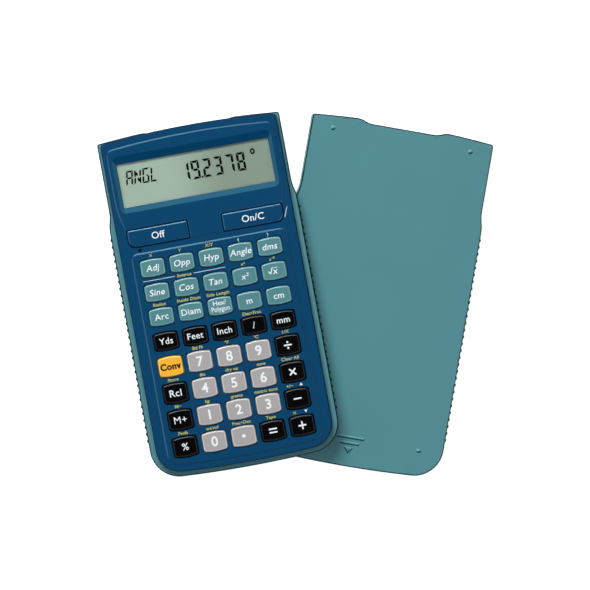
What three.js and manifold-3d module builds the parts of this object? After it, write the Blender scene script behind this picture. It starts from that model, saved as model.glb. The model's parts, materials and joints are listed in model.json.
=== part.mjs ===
import * as THREE from 'three';
import * as BufferGeometryUtils from 'three/addons/utils/BufferGeometryUtils.js';
import { ConvexGeometry } from 'three/addons/geometries/ConvexGeometry.js';
import Module from 'manifold-3d';

// Pocket construction calculator with its slide-off cover, in millimetres, +Z up.
// The cover lies face up on the table, its length along Y, its notched end towards +Y.
// The calculator is turned in plan and leans on the cover's left edge.
// In the calculator's own group Z = 0 is the back face and Z grows towards the keys.
// Places along the length are given as distances from the top end.

// Running clearance between pieces, and how far a cut runs past the face that it opens
const GAP = 0.3;
const OVERRUN = 1;

// Plan of the body, shared by the rear housing and the cover
const BODY_LENGTH = 142;
const SHOULDER_WIDTH = 75.8;
const GRIP_WIDTH = 78.2;
const FLARE_START = 28.7;
const FLARE_LENGTH = 9.8;
const TOP_BOW = 1.8;
const TOP_CORNER_RADIUS = 1;
const NOTCH_WIDTH = 39;
const NOTCH_FLOOR_WIDTH = 25;
const NOTCH_DEPTH = 1.4;
const BOTTOM_BOW = 1.6;
const BOTTOM_CORNER_RADIUS = 11.5;
const BODY_EDGE = 0.8;

// Grip ribs on the sides of the rear housing and the cover
const RIB_PITCH = 2.88;
const FIRST_RIB_FROM_FLARE = 2.5;
const RIB_STOP_FROM_END = 16.7;
const RIB_WIDTH = 1.5;
const RIB_CREST_WIDTH = 0.7;
const RIB_HEIGHT = 0.4;
const RIB_ROOT = 0.4;

// Loose cover
const COVER_PLATE = 1.4;
const COVER_DEPTH = 7.1;
const COVER_RUNNING_GAP = 0.4;
const COVER_END_WALL = 1.5;
const PIP_RADIUS = 1;
const PIP_HEIGHT = 0.3;
const PIP_SPACING = 57.6;
const PIP_FROM_TOP = 5.8;
const PIP_FROM_BOTTOM = 11.4;
const MARK_HEIGHT = 0.25;
const MARK_LINE = 0.6;
const LONG_BAR = 12;
const LONG_BAR_FROM_BOTTOM = 12.1;
const SHORT_BAR = 8.5;
const SHORT_BAR_FROM_BOTTOM = 9.7;
const ARROW_WIDTH = 4.2;
const ARROW_LENGTH = 2.4;
const ARROW_FROM_BOTTOM = 8.1;

// Rear housing
const BACK_WALL = 1.8;
const BOARD_POST_RADIUS = 1.5;
const BOARD_POST_INSET = 12.5;

// Front housing
const SHOULDER_LEDGE = 1.3;
const FRONT_TOP_INSET = 0.5;
const FRONT_BOTTOM_INSET = 1.9;
const FRONT_TOP_RADIUS = 1.8;
const FRONT_BOTTOM_RADIUS = 9.6;
const FRONT_HEIGHT = 4;
const FRONT_PLATE = 2;
const FRONT_EDGE = 0.6;
const SKIRT_WALL = 1.6;
const TOP_WALL = 3;
const CAVITY_TOP_RADIUS = 1;
const CAVITY_BOTTOM_RADIUS = 8;

// Raised panels on the face, round the display and round the keypad
const PANEL_RISE = 0.2;
const DISPLAY_PANEL_TOP = 3.3;
const DISPLAY_PANEL_INSET = 1.7;
const DISPLAY_PANEL_RADIUS = 1.8;
const DISPLAY_PANEL_BEND_FROM_END = 4.75;
const KEYPAD_PANEL_FROM_WIDE_KEY = 2.5;
const KEYPAD_PANEL_INSET = 4.6;
const KEYPAD_PANEL_RADIUS = 2;
const KEYPAD_PANEL_LOWER_RADIUS = 4;
const KEYPAD_PANEL_MARGIN = 3.6;

// Display: recess in the face, window in its opening and glass panel below
const DISPLAY_HEIGHT = 18;
const DISPLAY_SIDE_MARGIN = 5.2;
const RECESS_DEPTH = 1.4;
const RECESS_SIDE = 1.4;
const RECESS_UPPER = 3.1;
const RECESS_LOWER = 2.1;
const RECESS_RADIUS = 1.3;
const RING_THICKNESS = 0.8;
const WINDOW_THICKNESS = 0.6;
const LCD_THICKNESS = 1.4;
const LCD_BORDER = 1.8;
const LCD_FROM_BOSS = 0.45;
const STRIP_HEIGHT = 1.9;
const STRIP_WIDTH = 2.2;
const STRIP_SIDE_MARGIN = 4.4;
const STRIP_FROM_BOARD_EDGE = 2.5;
const STRIP_FROM_LCD_END = 0.8;

// Keys and the holes that they stand in
const KEYPAD_SIDE_MARGIN = 12.3;
const FIRST_ROW_FROM_PANEL = 6.8;
const LAST_ROW_FROM_END = 12.75;
const COLUMN_GAP = 2.25;
const ROW_GAP = 2.8;
const KEY_RISE = 1.1;
const KEY_TRAVEL = 0.8;
const KEY_CORNER_RADIUS = 1.1;
const KEY_BOW = 0.35;
const KEY_EDGE = 0.4;
const FLANGE_THICKNESS = 1.2;
const FLANGE_OVERLAP = 0.75;
const COLUMN_COUNT = 5;
const SMALL_ROW_COUNT = 4;
const LARGE_ROW_COUNT = 4;
const SMALL_ROW_SHARE = 0.1367;
const GROUP_STEP_SHARE = 0.1414;
const LARGE_ROW_SHARE = 0.1495;

// Wide off and on keys below the display
const WIDE_KEY_FROM_LCD = 3.25;
const WIDE_KEY_HEIGHT = 7.3;
const WIDE_KEY_RISE = 0.6;
const WIDE_KEY_INNER = 7.1;
const WIDE_KEY_SIDE_MARGIN = 4.4;
const WIDE_KEY_RADIUS = 0.6;
const WIDE_KEY_OUTER_RADIUS = 3.7;

// Reset pinhole in the face
const PINHOLE_RADIUS = 0.6;
const PINHOLE_SIDE_MARGIN = 8.5;
const PINHOLE_FROM_WIDE_KEY = 1.2;

// Keypad membrane and circuit board
const MEMBRANE_THICKNESS = 0.6;
const DOME_FOOT_RADIUS = 3;
const DOME_TOP_RADIUS = 1.9;
const DOME_CLEARANCE = 0.2;
const BOARD_THICKNESS = 1;
const BOARD_MARGIN = 1.1;
const CHIP_RADIUS = 5;
const CHIP_HEIGHT = 1.1;
const CHIP_FROM_FIRST_ROW = 5;

// Button cells, their contacts and the sliding battery door
const CELL_RADIUS = 5.8;
const CELL_HEIGHT = 5.4;
const CELL_CAP_RADIUS = 4.9;
const CELL_CAP_HEIGHT = 0.6;
const CELL_SHOULDER = 0.4;
const CELL_SPACE = 0.6;
const CELL_FROM_WALL = 1.95;
const CELL_BLOCK_WIDTH = 3.9;
const CONTACT_THICKNESS = 0.3;
const CONTACT_HEIGHT = 4.4;
const CONTACT_TAIL_HEIGHT = 1.3;
const CONTACT_TAIL_LENGTH = 1.4;
const CONTACT_TOP_MARGIN = 0.6;
const DOOR_SKIN = 0.9;
const DOOR_TONGUE_THICKNESS = 0.7;
const DOOR_TONGUE_WIDTH = 1.1;
const DOOR_SIDE_MARGIN = 2.4;
const DOOR_GRIP_COUNT = 4;
const DOOR_GRIP_PITCH = 2;
const DOOR_GRIP_WIDTH = 0.9;
const DOOR_GRIP_DEPTH = 0.5;
const DOOR_GRIP_LENGTH = 10;
const DOOR_GRIP_FROM_END = 5;

// Housing screws and their bosses
const SCREW_RADIUS = 0.8;
const SCREW_HEAD_RADIUS = 1.7;
const SCREW_HEAD_HEIGHT = 1.2;
const SCREW_SINK = 2.4;
const SCREW_HOLE_RADIUS = 1.1;
const REAR_BOSS_RADIUS = 2.7;
const REAR_BOSS_HEIGHT = 3.2;
const FRONT_BOSS_RADIUS = 2;
const PILOT_STOP = 0.9;
const TOP_SCREW_INSET = 6.6;
const LOW_SCREW_INSET = 4.2;

// Rest pose: where the calculator's middle lies from the cover's middle, and its turn
const CALCULATOR_OFFSET_X = -63.3;
const CALCULATOR_OFFSET_Y = -10.7;
const CALCULATOR_TURN = THREE.MathUtils.degToRad(20.2);

// Smoothness of curves and round pieces
const CURVE_STEPS = 4;
const BODY_EDGE_STEPS = 2;
const SMALL_EDGE_STEPS = 1;
const ROUND_SIDES = 12;
const CELL_SIDES = 20;
const DOME_SIDES = 6;

// Share of a round corner's radius at which a cubic curve's handle stands
const CORNER_HANDLE_SHARE = 0.5523;

// Heights worked out from the stack: door, cell, display glass and recess
const doorTop = DOOR_SKIN + GAP + DOOR_TONGUE_THICKNESS;
const cellBottom = doorTop + GAP;
const cellTop = cellBottom + CELL_HEIGHT;
const lcdBottom = cellTop + GAP;
const lcdTop = lcdBottom + LCD_THICKNESS;
const ringBottom = lcdTop + GAP;
const recessFloor = ringBottom + RING_THICKNESS;
const faceTop = recessFloor + RECESS_DEPTH;
const frontBase = faceTop - FRONT_HEIGHT;
const rearTop = frontBase - GAP;
const plateBottom = faceTop - FRONT_PLATE;
const flangeTop = plateBottom - GAP;
const flangeBottom = flangeTop - FLANGE_THICKNESS;
const keyTop = faceTop + KEY_RISE;
const wideKeyTop = faceTop + WIDE_KEY_RISE;
const boardTop = lcdBottom - GAP - STRIP_HEIGHT - GAP;
const boardBottom = boardTop - BOARD_THICKNESS;
const membraneBottom = boardTop + GAP;
const membraneTop = membraneBottom + MEMBRANE_THICKNESS;
const domeTop = flangeBottom - KEY_TRAVEL - DOME_CLEARANCE;
const rearBossTop = BACK_WALL + REAR_BOSS_HEIGHT;
const frontBossBottom = rearBossTop + GAP;
const pilotEnd = plateBottom - PILOT_STOP;

// Plan places worked out from the body and the keypad
const halfLength = BODY_LENGTH / 2;
const shoulderHalf = SHOULDER_WIDTH / 2;
const gripHalf = GRIP_WIDTH / 2;
const frontHalf = shoulderHalf - SHOULDER_LEDGE;
const cavityHalf = frontHalf - SKIRT_WALL;
const displayHalf = frontHalf - DISPLAY_SIDE_MARGIN;
const flareEnd = FLARE_START + FLARE_LENGTH;
const firstRib = flareEnd + FIRST_RIB_FROM_FLARE;
const topScrewPlace = TOP_WALL + TOP_BOW + FRONT_BOSS_RADIUS;
const lcdStart = topScrewPlace + FRONT_BOSS_RADIUS + LCD_FROM_BOSS;
const displayStart = lcdStart + LCD_BORDER;
const displayEnd = displayStart + DISPLAY_HEIGHT;
const upperCell = TOP_WALL + CELL_FROM_WALL + CELL_RADIUS;
const lowerCell = upperCell + CELL_RADIUS * 2 + CELL_SPACE;
const cellBlockEnd = lowerCell + CELL_RADIUS + CELL_SPACE;
const boardStart = cellBlockEnd + GAP;
const stripStart = boardStart + STRIP_FROM_BOARD_EDGE;
const stripEnd = stripStart + STRIP_WIDTH;
const lcdEnd = stripEnd + STRIP_FROM_LCD_END;
const wideKeyStart = lcdEnd + WIDE_KEY_FROM_LCD;
const wideKeyEnd = wideKeyStart + WIDE_KEY_HEIGHT;
const keypadPanelStart = wideKeyEnd + KEYPAD_PANEL_FROM_WIDE_KEY;
const firstRow = keypadPanelStart + FIRST_ROW_FROM_PANEL;
const outerColumn = frontHalf - KEYPAD_SIDE_MARGIN;
const columnPitch = outerColumn / ((COLUMN_COUNT - 1) / 2);
const keyHalfWidth = (columnPitch - COLUMN_GAP) / 2;
const keypadRun = BODY_LENGTH - LAST_ROW_FROM_END - firstRow;
const smallPitch = keypadRun * SMALL_ROW_SHARE;
const largePitch = keypadRun * LARGE_ROW_SHARE;
const smallKeyHalf = (smallPitch - ROW_GAP) / 2;
const largeKeyHalf = (largePitch - ROW_GAP) / 2;
const lastSmallRow = firstRow + smallPitch * (SMALL_ROW_COUNT - 1);
const firstLargeRow = lastSmallRow + keypadRun * GROUP_STEP_SHARE;
const lastRow = firstLargeRow + largePitch * (LARGE_ROW_COUNT - 1);
const boardEnd = lastRow + largeKeyHalf + BOARD_MARGIN;
const boardHalf = outerColumn + keyHalfWidth + GAP / 2;
const cellWallHalf = CELL_RADIUS + GAP + CONTACT_THICKNESS + GAP;
const doorHalf = CELL_RADIUS + DOOR_SIDE_MARGIN;

// Colours of the mouldings and the inner pieces
const TEAL_PLASTIC = { color: 0x528a92, roughness: 0.55, metalness: 0 };
const BLUE_PLASTIC = { color: 0x0f4c7a, roughness: 0.45, metalness: 0 };
const TEAL_KEY = { color: 0x4f8f94, roughness: 0.5, metalness: 0 };
const BLACK_KEY = { color: 0x101113, roughness: 0.4, metalness: 0 };
const GREY_KEY = { color: 0xb3b0b3, roughness: 0.5, metalness: 0 };
const YELLOW_KEY = { color: 0xfdb515, roughness: 0.45, metalness: 0 };
const CLEAR_PLASTIC = { color: 0xe6efe9, roughness: 0.1, metalness: 0, transparent: true, opacity: 0.3 };
const LCD_GLASS = { color: 0x9db2a3, roughness: 0.3, metalness: 0 };
const RUBBER = { color: 0x2a2c2e, roughness: 0.8, metalness: 0 };
const MEMBRANE_RUBBER = { color: 0xb9bdb8, roughness: 0.7, metalness: 0 };
const BOARD_GREEN = { color: 0x1f5b3a, roughness: 0.5, metalness: 0 };
const STEEL = { color: 0xb9bcc0, roughness: 0.3, metalness: 1 };

const wasm = await Module();
wasm.setup();

// A closed geometry as a solid that can be joined and cut
function solid(geometry) {
  const bare = geometry.clone();
  bare.deleteAttribute('normal');
  bare.deleteAttribute('uv');
  const merged = BufferGeometryUtils.mergeVertices(bare);
  return new wasm.Manifold(new wasm.Mesh({
    numProp: 3,
    vertProperties: merged.attributes.position.array,
    triVerts: Uint32Array.from(merged.index.array),
  }));
}

// The geometry of a solid, for its mesh
function geometryOf(body) {
  const mesh = body.getMesh();
  const geometry = new THREE.BufferGeometry();
  geometry.setAttribute('position', new THREE.BufferAttribute(mesh.vertProperties, 3));
  geometry.setIndex(new THREE.BufferAttribute(mesh.triVerts, 1));
  geometry.computeVertexNormals();
  return geometry;
}

function joined(bodies) {
  return bodies.reduce((whole, body) => whole.add(body));
}

function piece(name, body, look) {
  const mesh = new THREE.Mesh(geometryOf(body), new THREE.MeshStandardMaterial(look));
  mesh.name = name;
  return mesh;
}

// Y of a place that lies a distance from the top end
function down(distance) {
  return halfLength - distance;
}

// A shape drawn upwards from one height to another, with its outer edges rounded if asked
function prism(shape, bottom, top, edge = 0, edgeSteps = SMALL_EDGE_STEPS) {
  const geometry = new THREE.ExtrudeGeometry(shape, {
    depth: top - bottom - edge * 2,
    curveSegments: CURVE_STEPS,
    bevelEnabled: edge > 0,
    bevelThickness: edge,
    bevelSize: edge,
    bevelOffset: -edge,
    bevelSegments: edgeSteps,
  });
  geometry.translate(0, 0, bottom + edge);
  return solid(geometry);
}

// A box given by its lowest and highest corners
function block(x0, x1, y0, y1, z0, z1) {
  const geometry = new THREE.BoxGeometry(x1 - x0, y1 - y0, z1 - z0);
  geometry.translate((x0 + x1) / 2, (y0 + y1) / 2, (z0 + z1) / 2);
  return solid(geometry);
}

// A round piece standing on a place, from its [radius, height] profile
function turned(profile, x, y, sides) {
  const points = profile.map(([radius, height]) => new THREE.Vector2(radius, height));
  const geometry = new THREE.LatheGeometry(points, sides);
  geometry.rotateX(Math.PI / 2);
  geometry.translate(x, y, 0);
  return solid(geometry);
}

function rod(radius, x, y, bottom, top) {
  return turned([[0, bottom], [radius, bottom], [radius, top], [0, top]], x, y, ROUND_SIDES);
}

// A closed shape from the points of its right half, drawn from the top to the bottom
function mirrored(path) {
  const right = path.getPoints(CURVE_STEPS);
  const left = right.filter((point) => point.x > 0).map((point) => new THREE.Vector2(-point.x, point.y));
  return new THREE.Shape([...right, ...left.reverse()]);
}

// Draws a stretch of a bowed end, whose height at x is peak - bow * (x / half) ** 2
function bowTo(path, peak, bow, half, toX) {
  const fromX = path.currentPoint.x;
  const bend = bow / (half * half);
  path.quadraticCurveTo((fromX + toX) / 2, peak - bend * fromX * toX, toX, peak - bend * toX * toX);
}

// Draws a round lower corner of a side that stands at x = half, above a bowed bottom end
function lowerCorner(path, half, radius, bottom, bow) {
  const footX = half - radius;
  const slope = (2 * bow * footX) / (half * half);
  const footY = bottom + bow * (footX / half) ** 2;
  const handle = radius * CORNER_HANDLE_SHARE;
  const sideY = footY + slope * radius + radius;
  path.lineTo(half, sideY);
  path.bezierCurveTo(half, sideY - handle, footX + handle, footY + slope * handle, footX, footY);
}

// Plan of the rear housing and the cover
function bodyPlan() {
  const notchHalf = NOTCH_WIDTH / 2;
  const floorHalf = NOTCH_FLOOR_WIDTH / 2;
  const notchMiddle = (notchHalf + floorHalf) / 2;
  const bend = TOP_BOW / (shoulderHalf * shoulderHalf);
  const peak = halfLength + bend * notchHalf * notchHalf;
  const notchFloor = halfLength - NOTCH_DEPTH;
  const cornerX = shoulderHalf - TOP_CORNER_RADIUS;
  const flareMiddle = (FLARE_START + flareEnd) / 2;
  const path = new THREE.Path();
  path.moveTo(0, notchFloor);
  path.lineTo(floorHalf, notchFloor);
  path.bezierCurveTo(notchMiddle, notchFloor, notchMiddle, halfLength, notchHalf, halfLength);
  bowTo(path, peak, TOP_BOW, shoulderHalf, cornerX);
  path.quadraticCurveTo(shoulderHalf, peak - TOP_BOW, shoulderHalf, peak - TOP_BOW - TOP_CORNER_RADIUS);
  path.lineTo(shoulderHalf, down(FLARE_START));
  path.bezierCurveTo(shoulderHalf, down(flareMiddle), gripHalf, down(flareMiddle), gripHalf, down(flareEnd));
  lowerCorner(path, gripHalf, BOTTOM_CORNER_RADIUS, -halfLength, BOTTOM_BOW);
  bowTo(path, -halfLength, -BOTTOM_BOW, gripHalf, 0);
  return mirrored(path);
}

// Plan with bowed ends and straight sides
function bowedPlan({ half, top, topBow, topRadius, bottom, bottomBow, bottomRadius }) {
  const path = new THREE.Path();
  path.moveTo(0, top);
  bowTo(path, top, topBow, half, half - topRadius);
  path.quadraticCurveTo(half, top - topBow, half, top - topBow - topRadius);
  lowerCorner(path, half, bottomRadius, bottom, bottomBow);
  bowTo(path, bottom, -bottomBow, half, 0);
  return mirrored(path);
}

function frontPlan() {
  return bowedPlan({
    half: frontHalf,
    top: halfLength + TOP_BOW * (NOTCH_WIDTH / SHOULDER_WIDTH) ** 2 - FRONT_TOP_INSET,
    topBow: TOP_BOW,
    topRadius: FRONT_TOP_RADIUS,
    bottom: -halfLength + FRONT_BOTTOM_INSET,
    bottomBow: BOTTOM_BOW,
    bottomRadius: FRONT_BOTTOM_RADIUS,
  });
}

// Plan of the hollow inside both housings
function cavityPlan() {
  return bowedPlan({
    half: cavityHalf,
    top: down(TOP_WALL),
    topBow: TOP_BOW,
    topRadius: CAVITY_TOP_RADIUS,
    bottom: -halfLength + FRONT_BOTTOM_INSET + SKIRT_WALL,
    bottomBow: BOTTOM_BOW,
    bottomRadius: CAVITY_BOTTOM_RADIUS,
  });
}

// Rectangle with round corners, given by its sides
function roundedBox(x0, x1, y0, y1, radius) {
  const shape = new THREE.Shape();
  shape.moveTo(x0 + radius, y0);
  shape.absarc(x1 - radius, y0 + radius, radius, -Math.PI / 2, 0);
  shape.absarc(x1 - radius, y1 - radius, radius, 0, Math.PI / 2);
  shape.absarc(x0 + radius, y1 - radius, radius, Math.PI / 2, Math.PI);
  shape.absarc(x0 + radius, y0 + radius, radius, Math.PI, Math.PI * 3 / 2);
  return shape;
}

// Row of small upright ribs on one side of the body
function gripRibs(side, bottom, top) {
  const ribs = [];
  for (let place = firstRib; place < BODY_LENGTH - RIB_STOP_FROM_END; place += RIB_PITCH) {
    const y = down(place);
    const shape = new THREE.Shape([
      new THREE.Vector2(side * (gripHalf - RIB_ROOT), y - RIB_WIDTH / 2),
      new THREE.Vector2(side * gripHalf, y - RIB_WIDTH / 2),
      new THREE.Vector2(side * (gripHalf + RIB_HEIGHT), y - RIB_CREST_WIDTH / 2),
      new THREE.Vector2(side * (gripHalf + RIB_HEIGHT), y + RIB_CREST_WIDTH / 2),
      new THREE.Vector2(side * gripHalf, y + RIB_WIDTH / 2),
      new THREE.Vector2(side * (gripHalf - RIB_ROOT), y + RIB_WIDTH / 2),
    ]);
    ribs.push(prism(shape, bottom, top));
  }
  return joined(ribs);
}

// Barrel-shaped key outline with round corners
function keyOutline(halfWidth, halfHeight, bow) {
  const cornerX = halfWidth - KEY_CORNER_RADIUS;
  const cornerY = halfHeight - bow - KEY_CORNER_RADIUS;
  const path = new THREE.Path();
  path.moveTo(0, halfHeight);
  path.lineTo(cornerX, halfHeight - bow);
  path.absarc(cornerX, cornerY, KEY_CORNER_RADIUS, Math.PI / 2, 0, true);
  path.absarc(cornerX, -cornerY, KEY_CORNER_RADIUS, 0, -Math.PI / 2, true);
  path.lineTo(0, -halfHeight);
  const right = path.getPoints(1);
  const left = right.filter((point) => point.x > 0).map((point) => new THREE.Vector2(-point.x, point.y));
  return new THREE.Shape([...right, ...left.reverse()]);
}

// Every grid key: its name, its look and where its middle lies
function keyGrid() {
  const tealRows = [
    ['adjacent_key', 'opposite_key', 'hypotenuse_key', 'angle_key', 'degrees_key'],
    ['sine_key', 'cosine_key', 'tangent_key', 'square_key', 'root_key'],
    ['arc_key', 'diameter_key', 'polygon_key', 'metre_key', 'centimetre_key'],
  ];
  const mixedRows = [
    ['yards_key', 'feet_key', 'inch_key', 'fraction_key', 'millimetre_key'],
    ['convert_key', 'key_7', 'key_8', 'key_9', 'divide_key'],
    ['recall_key', 'key_4', 'key_5', 'key_6', 'multiply_key'],
    ['memory_key', 'key_1', 'key_2', 'key_3', 'minus_key'],
    ['percent_key', 'key_0', 'point_key', 'equals_key', 'plus_key'],
  ];
  const greyKeys = new Set(mixedRows.flat().filter((name) => /^key_/.test(name) || name === 'point_key'));
  const grid = [];
  [...tealRows, ...mixedRows].forEach((names, row) => {
    const small = row < SMALL_ROW_COUNT;
    const smallPlace = firstRow + row * smallPitch;
    const largePlace = firstLargeRow + (row - SMALL_ROW_COUNT) * largePitch;
    names.forEach((name, column) => {
      let look = row < tealRows.length ? TEAL_KEY : BLACK_KEY;
      if (greyKeys.has(name)) look = GREY_KEY;
      if (name === 'convert_key') look = YELLOW_KEY;
      grid.push({
        name,
        look,
        x: (column - (COLUMN_COUNT - 1) / 2) * columnPitch,
        y: down(small ? smallPlace : largePlace),
        halfHeight: small ? smallKeyHalf : largeKeyHalf,
      });
    });
  });
  return grid;
}

function moved(body, x, y) {
  return body.translate([x, y, 0]);
}

// A grid key: barrel-shaped cap over a flange that stops it under the face
function gridKey({ x, y, halfHeight }) {
  const cap = prism(keyOutline(keyHalfWidth, halfHeight, KEY_BOW), flangeBottom, keyTop, KEY_EDGE);
  const flangeX = keyHalfWidth + FLANGE_OVERLAP;
  const flangeY = halfHeight + FLANGE_OVERLAP;
  const flange = block(-flangeX, flangeX, -flangeY, flangeY, flangeBottom, flangeTop);
  return moved(cap.add(flange), x, y);
}

function gridKeyHole({ x, y, halfHeight }) {
  const outline = keyOutline(keyHalfWidth + GAP, halfHeight + GAP, KEY_BOW);
  return moved(prism(outline, plateBottom - OVERRUN, faceTop + OVERRUN), x, y);
}

// Outline of the wide key on the right, with a large outer lower corner
function wideKeyOutline(grow) {
  const inner = WIDE_KEY_INNER - grow;
  const outer = frontHalf - WIDE_KEY_SIDE_MARGIN + grow;
  const top = down(wideKeyStart) + grow;
  const bottom = down(wideKeyEnd) - grow;
  const shape = new THREE.Shape();
  shape.moveTo(inner + WIDE_KEY_RADIUS, top);
  shape.lineTo(outer, top);
  shape.lineTo(outer, bottom + WIDE_KEY_OUTER_RADIUS);
  shape.quadraticCurveTo(outer, bottom, outer - WIDE_KEY_OUTER_RADIUS, bottom);
  shape.lineTo(inner + WIDE_KEY_RADIUS, bottom);
  shape.quadraticCurveTo(inner, bottom, inner, bottom + WIDE_KEY_RADIUS);
  shape.lineTo(inner, top - WIDE_KEY_RADIUS);
  shape.quadraticCurveTo(inner, top, inner + WIDE_KEY_RADIUS, top);
  return shape;
}

function onSide(body, side) {
  return side < 0 ? body.mirror([1, 0, 0]) : body;
}

function wideKey(side) {
  const cap = prism(wideKeyOutline(0), flangeBottom, wideKeyTop, KEY_EDGE);
  const flange = block(
    WIDE_KEY_INNER - FLANGE_OVERLAP,
    frontHalf - WIDE_KEY_SIDE_MARGIN + FLANGE_OVERLAP,
    down(wideKeyEnd) - FLANGE_OVERLAP,
    down(wideKeyStart) + FLANGE_OVERLAP,
    flangeBottom,
    flangeTop,
  );
  return onSide(cap.add(flange), side);
}

function wideKeyHole(side) {
  return onSide(prism(wideKeyOutline(GAP), plateBottom - OVERRUN, faceTop + OVERRUN), side);
}

// Middles of the four housing screws
function screwPlaces() {
  const topX = frontHalf - TOP_SCREW_INSET;
  const lowX = frontHalf - LOW_SCREW_INSET;
  const topY = down(topScrewPlace);
  const lowY = down(lastRow - largePitch / 2);
  return [
    ['upper_left', -topX, topY],
    ['upper_right', topX, topY],
    ['lower_left', -lowX, lowY],
    ['lower_right', lowX, lowY],
  ];
}

// Raised panel round the display, whose sides curve in to the wide keys
function displayPanel() {
  const half = frontHalf - DISPLAY_PANEL_INSET;
  const waist = frontHalf - WIDE_KEY_SIDE_MARGIN;
  const top = down(DISPLAY_PANEL_TOP);
  const bottom = down(wideKeyEnd);
  const path = new THREE.Path();
  path.moveTo(0, top);
  bowTo(path, top, TOP_BOW, half, half - DISPLAY_PANEL_RADIUS);
  path.quadraticCurveTo(half, top - TOP_BOW, half, top - TOP_BOW - DISPLAY_PANEL_RADIUS);
  path.lineTo(half, down(displayEnd - DISPLAY_PANEL_BEND_FROM_END));
  path.quadraticCurveTo(half, down((displayEnd + lcdEnd) / 2), waist, down(wideKeyStart));
  path.lineTo(waist, bottom + WIDE_KEY_OUTER_RADIUS);
  path.quadraticCurveTo(waist, bottom, waist - WIDE_KEY_OUTER_RADIUS, bottom);
  path.lineTo(0, bottom);
  return prism(mirrored(path), faceTop - OVERRUN, faceTop + PANEL_RISE);
}

function keypadPanel() {
  const plan = bowedPlan({
    half: frontHalf - KEYPAD_PANEL_INSET,
    top: down(keypadPanelStart),
    topBow: 0,
    topRadius: KEYPAD_PANEL_RADIUS,
    bottom: down(lastRow + largeKeyHalf + KEYPAD_PANEL_MARGIN),
    bottomBow: BOTTOM_BOW,
    bottomRadius: KEYPAD_PANEL_LOWER_RADIUS,
  });
  return prism(plan, faceTop - OVERRUN, faceTop + PANEL_RISE);
}

// Sloped pocket from the face down to the display's opening
function displayRecess() {
  const rim = roundedBox(
    -displayHalf - RECESS_SIDE,
    displayHalf + RECESS_SIDE,
    down(displayEnd + RECESS_LOWER),
    down(displayStart - RECESS_UPPER),
    RECESS_RADIUS,
  ).getPoints(1);
  const floor = [
    new THREE.Vector2(-displayHalf, down(displayEnd)),
    new THREE.Vector2(displayHalf, down(displayEnd)),
    new THREE.Vector2(displayHalf, down(displayStart)),
    new THREE.Vector2(-displayHalf, down(displayStart)),
  ];
  const rimHeight = faceTop + PANEL_RISE;
  return solid(new ConvexGeometry([
    ...rim.map((point) => new THREE.Vector3(point.x, point.y, rimHeight)),
    ...rim.map((point) => new THREE.Vector3(point.x, point.y, rimHeight + OVERRUN)),
    ...floor.map((point) => new THREE.Vector3(point.x, point.y, recessFloor)),
  ]));
}

// Front housing: face plate with its openings over a skirt that stands on the rear housing
function frontHousing(grid) {
  let body = prism(frontPlan(), frontBase - FRONT_EDGE, faceTop, FRONT_EDGE);
  body = body.subtract(block(
    -shoulderHalf, shoulderHalf, -halfLength, halfLength + OVERRUN, frontBase - OVERRUN, frontBase,
  ));
  body = body.subtract(prism(cavityPlan(), frontBase - OVERRUN, plateBottom));
  body = body.add(block(
    -displayHalf - LCD_BORDER,
    displayHalf + LCD_BORDER,
    down(displayEnd + LCD_BORDER),
    down(lcdStart),
    ringBottom,
    plateBottom + GAP,
  ));
  body = body.add(displayPanel()).add(keypadPanel());
  for (const [, x, y] of screwPlaces()) {
    body = body.add(rod(FRONT_BOSS_RADIUS, x, y, frontBossBottom, plateBottom + GAP));
    body = body.subtract(rod(SCREW_HOLE_RADIUS, x, y, frontBossBottom - OVERRUN, pilotEnd));
  }
  body = body.subtract(displayRecess());
  body = body.subtract(block(
    -displayHalf, displayHalf, down(displayEnd), down(displayStart), ringBottom - OVERRUN, faceTop,
  ));
  body = body.subtract(joined([...grid.map(gridKeyHole), wideKeyHole(-1), wideKeyHole(1)]));
  const pinholeX = PINHOLE_SIDE_MARGIN - frontHalf;
  const pinholeY = down(wideKeyEnd + PINHOLE_FROM_WIDE_KEY);
  return body.subtract(rod(PINHOLE_RADIUS, pinholeX, pinholeY, plateBottom - OVERRUN, faceTop + OVERRUN));
}

// Slot in the back wall that the battery door slides in, open at the top end
function doorSlot() {
  const slotHalf = doorHalf + GAP;
  const grooveHalf = slotHalf + DOOR_TONGUE_WIDTH;
  const end = down(cellBlockEnd);
  const outside = halfLength + OVERRUN;
  const slot = block(-slotHalf, slotHalf, end, outside, -OVERRUN, cellBottom);
  const groove = block(-grooveHalf, grooveHalf, end, outside, DOOR_SKIN, cellBottom);
  return slot.add(groove);
}

// Blocks that wall in the button cells and hold the door's tongues down
function cellBlock(side) {
  const inner = cellWallHalf;
  const outer = inner + CELL_BLOCK_WIDTH;
  const body = block(inner, outer, down(cellBlockEnd), down(TOP_WALL - GAP), BACK_WALL - GAP, cellTop);
  return onSide(body, side);
}

function boardPostPlaces() {
  const x = frontHalf - BOARD_POST_INSET;
  const rows = [lcdEnd, (lcdEnd + lastRow) / 2, lastRow];
  return rows.flatMap((row) => [[-x, down(row)], [x, down(row)]]);
}

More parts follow.
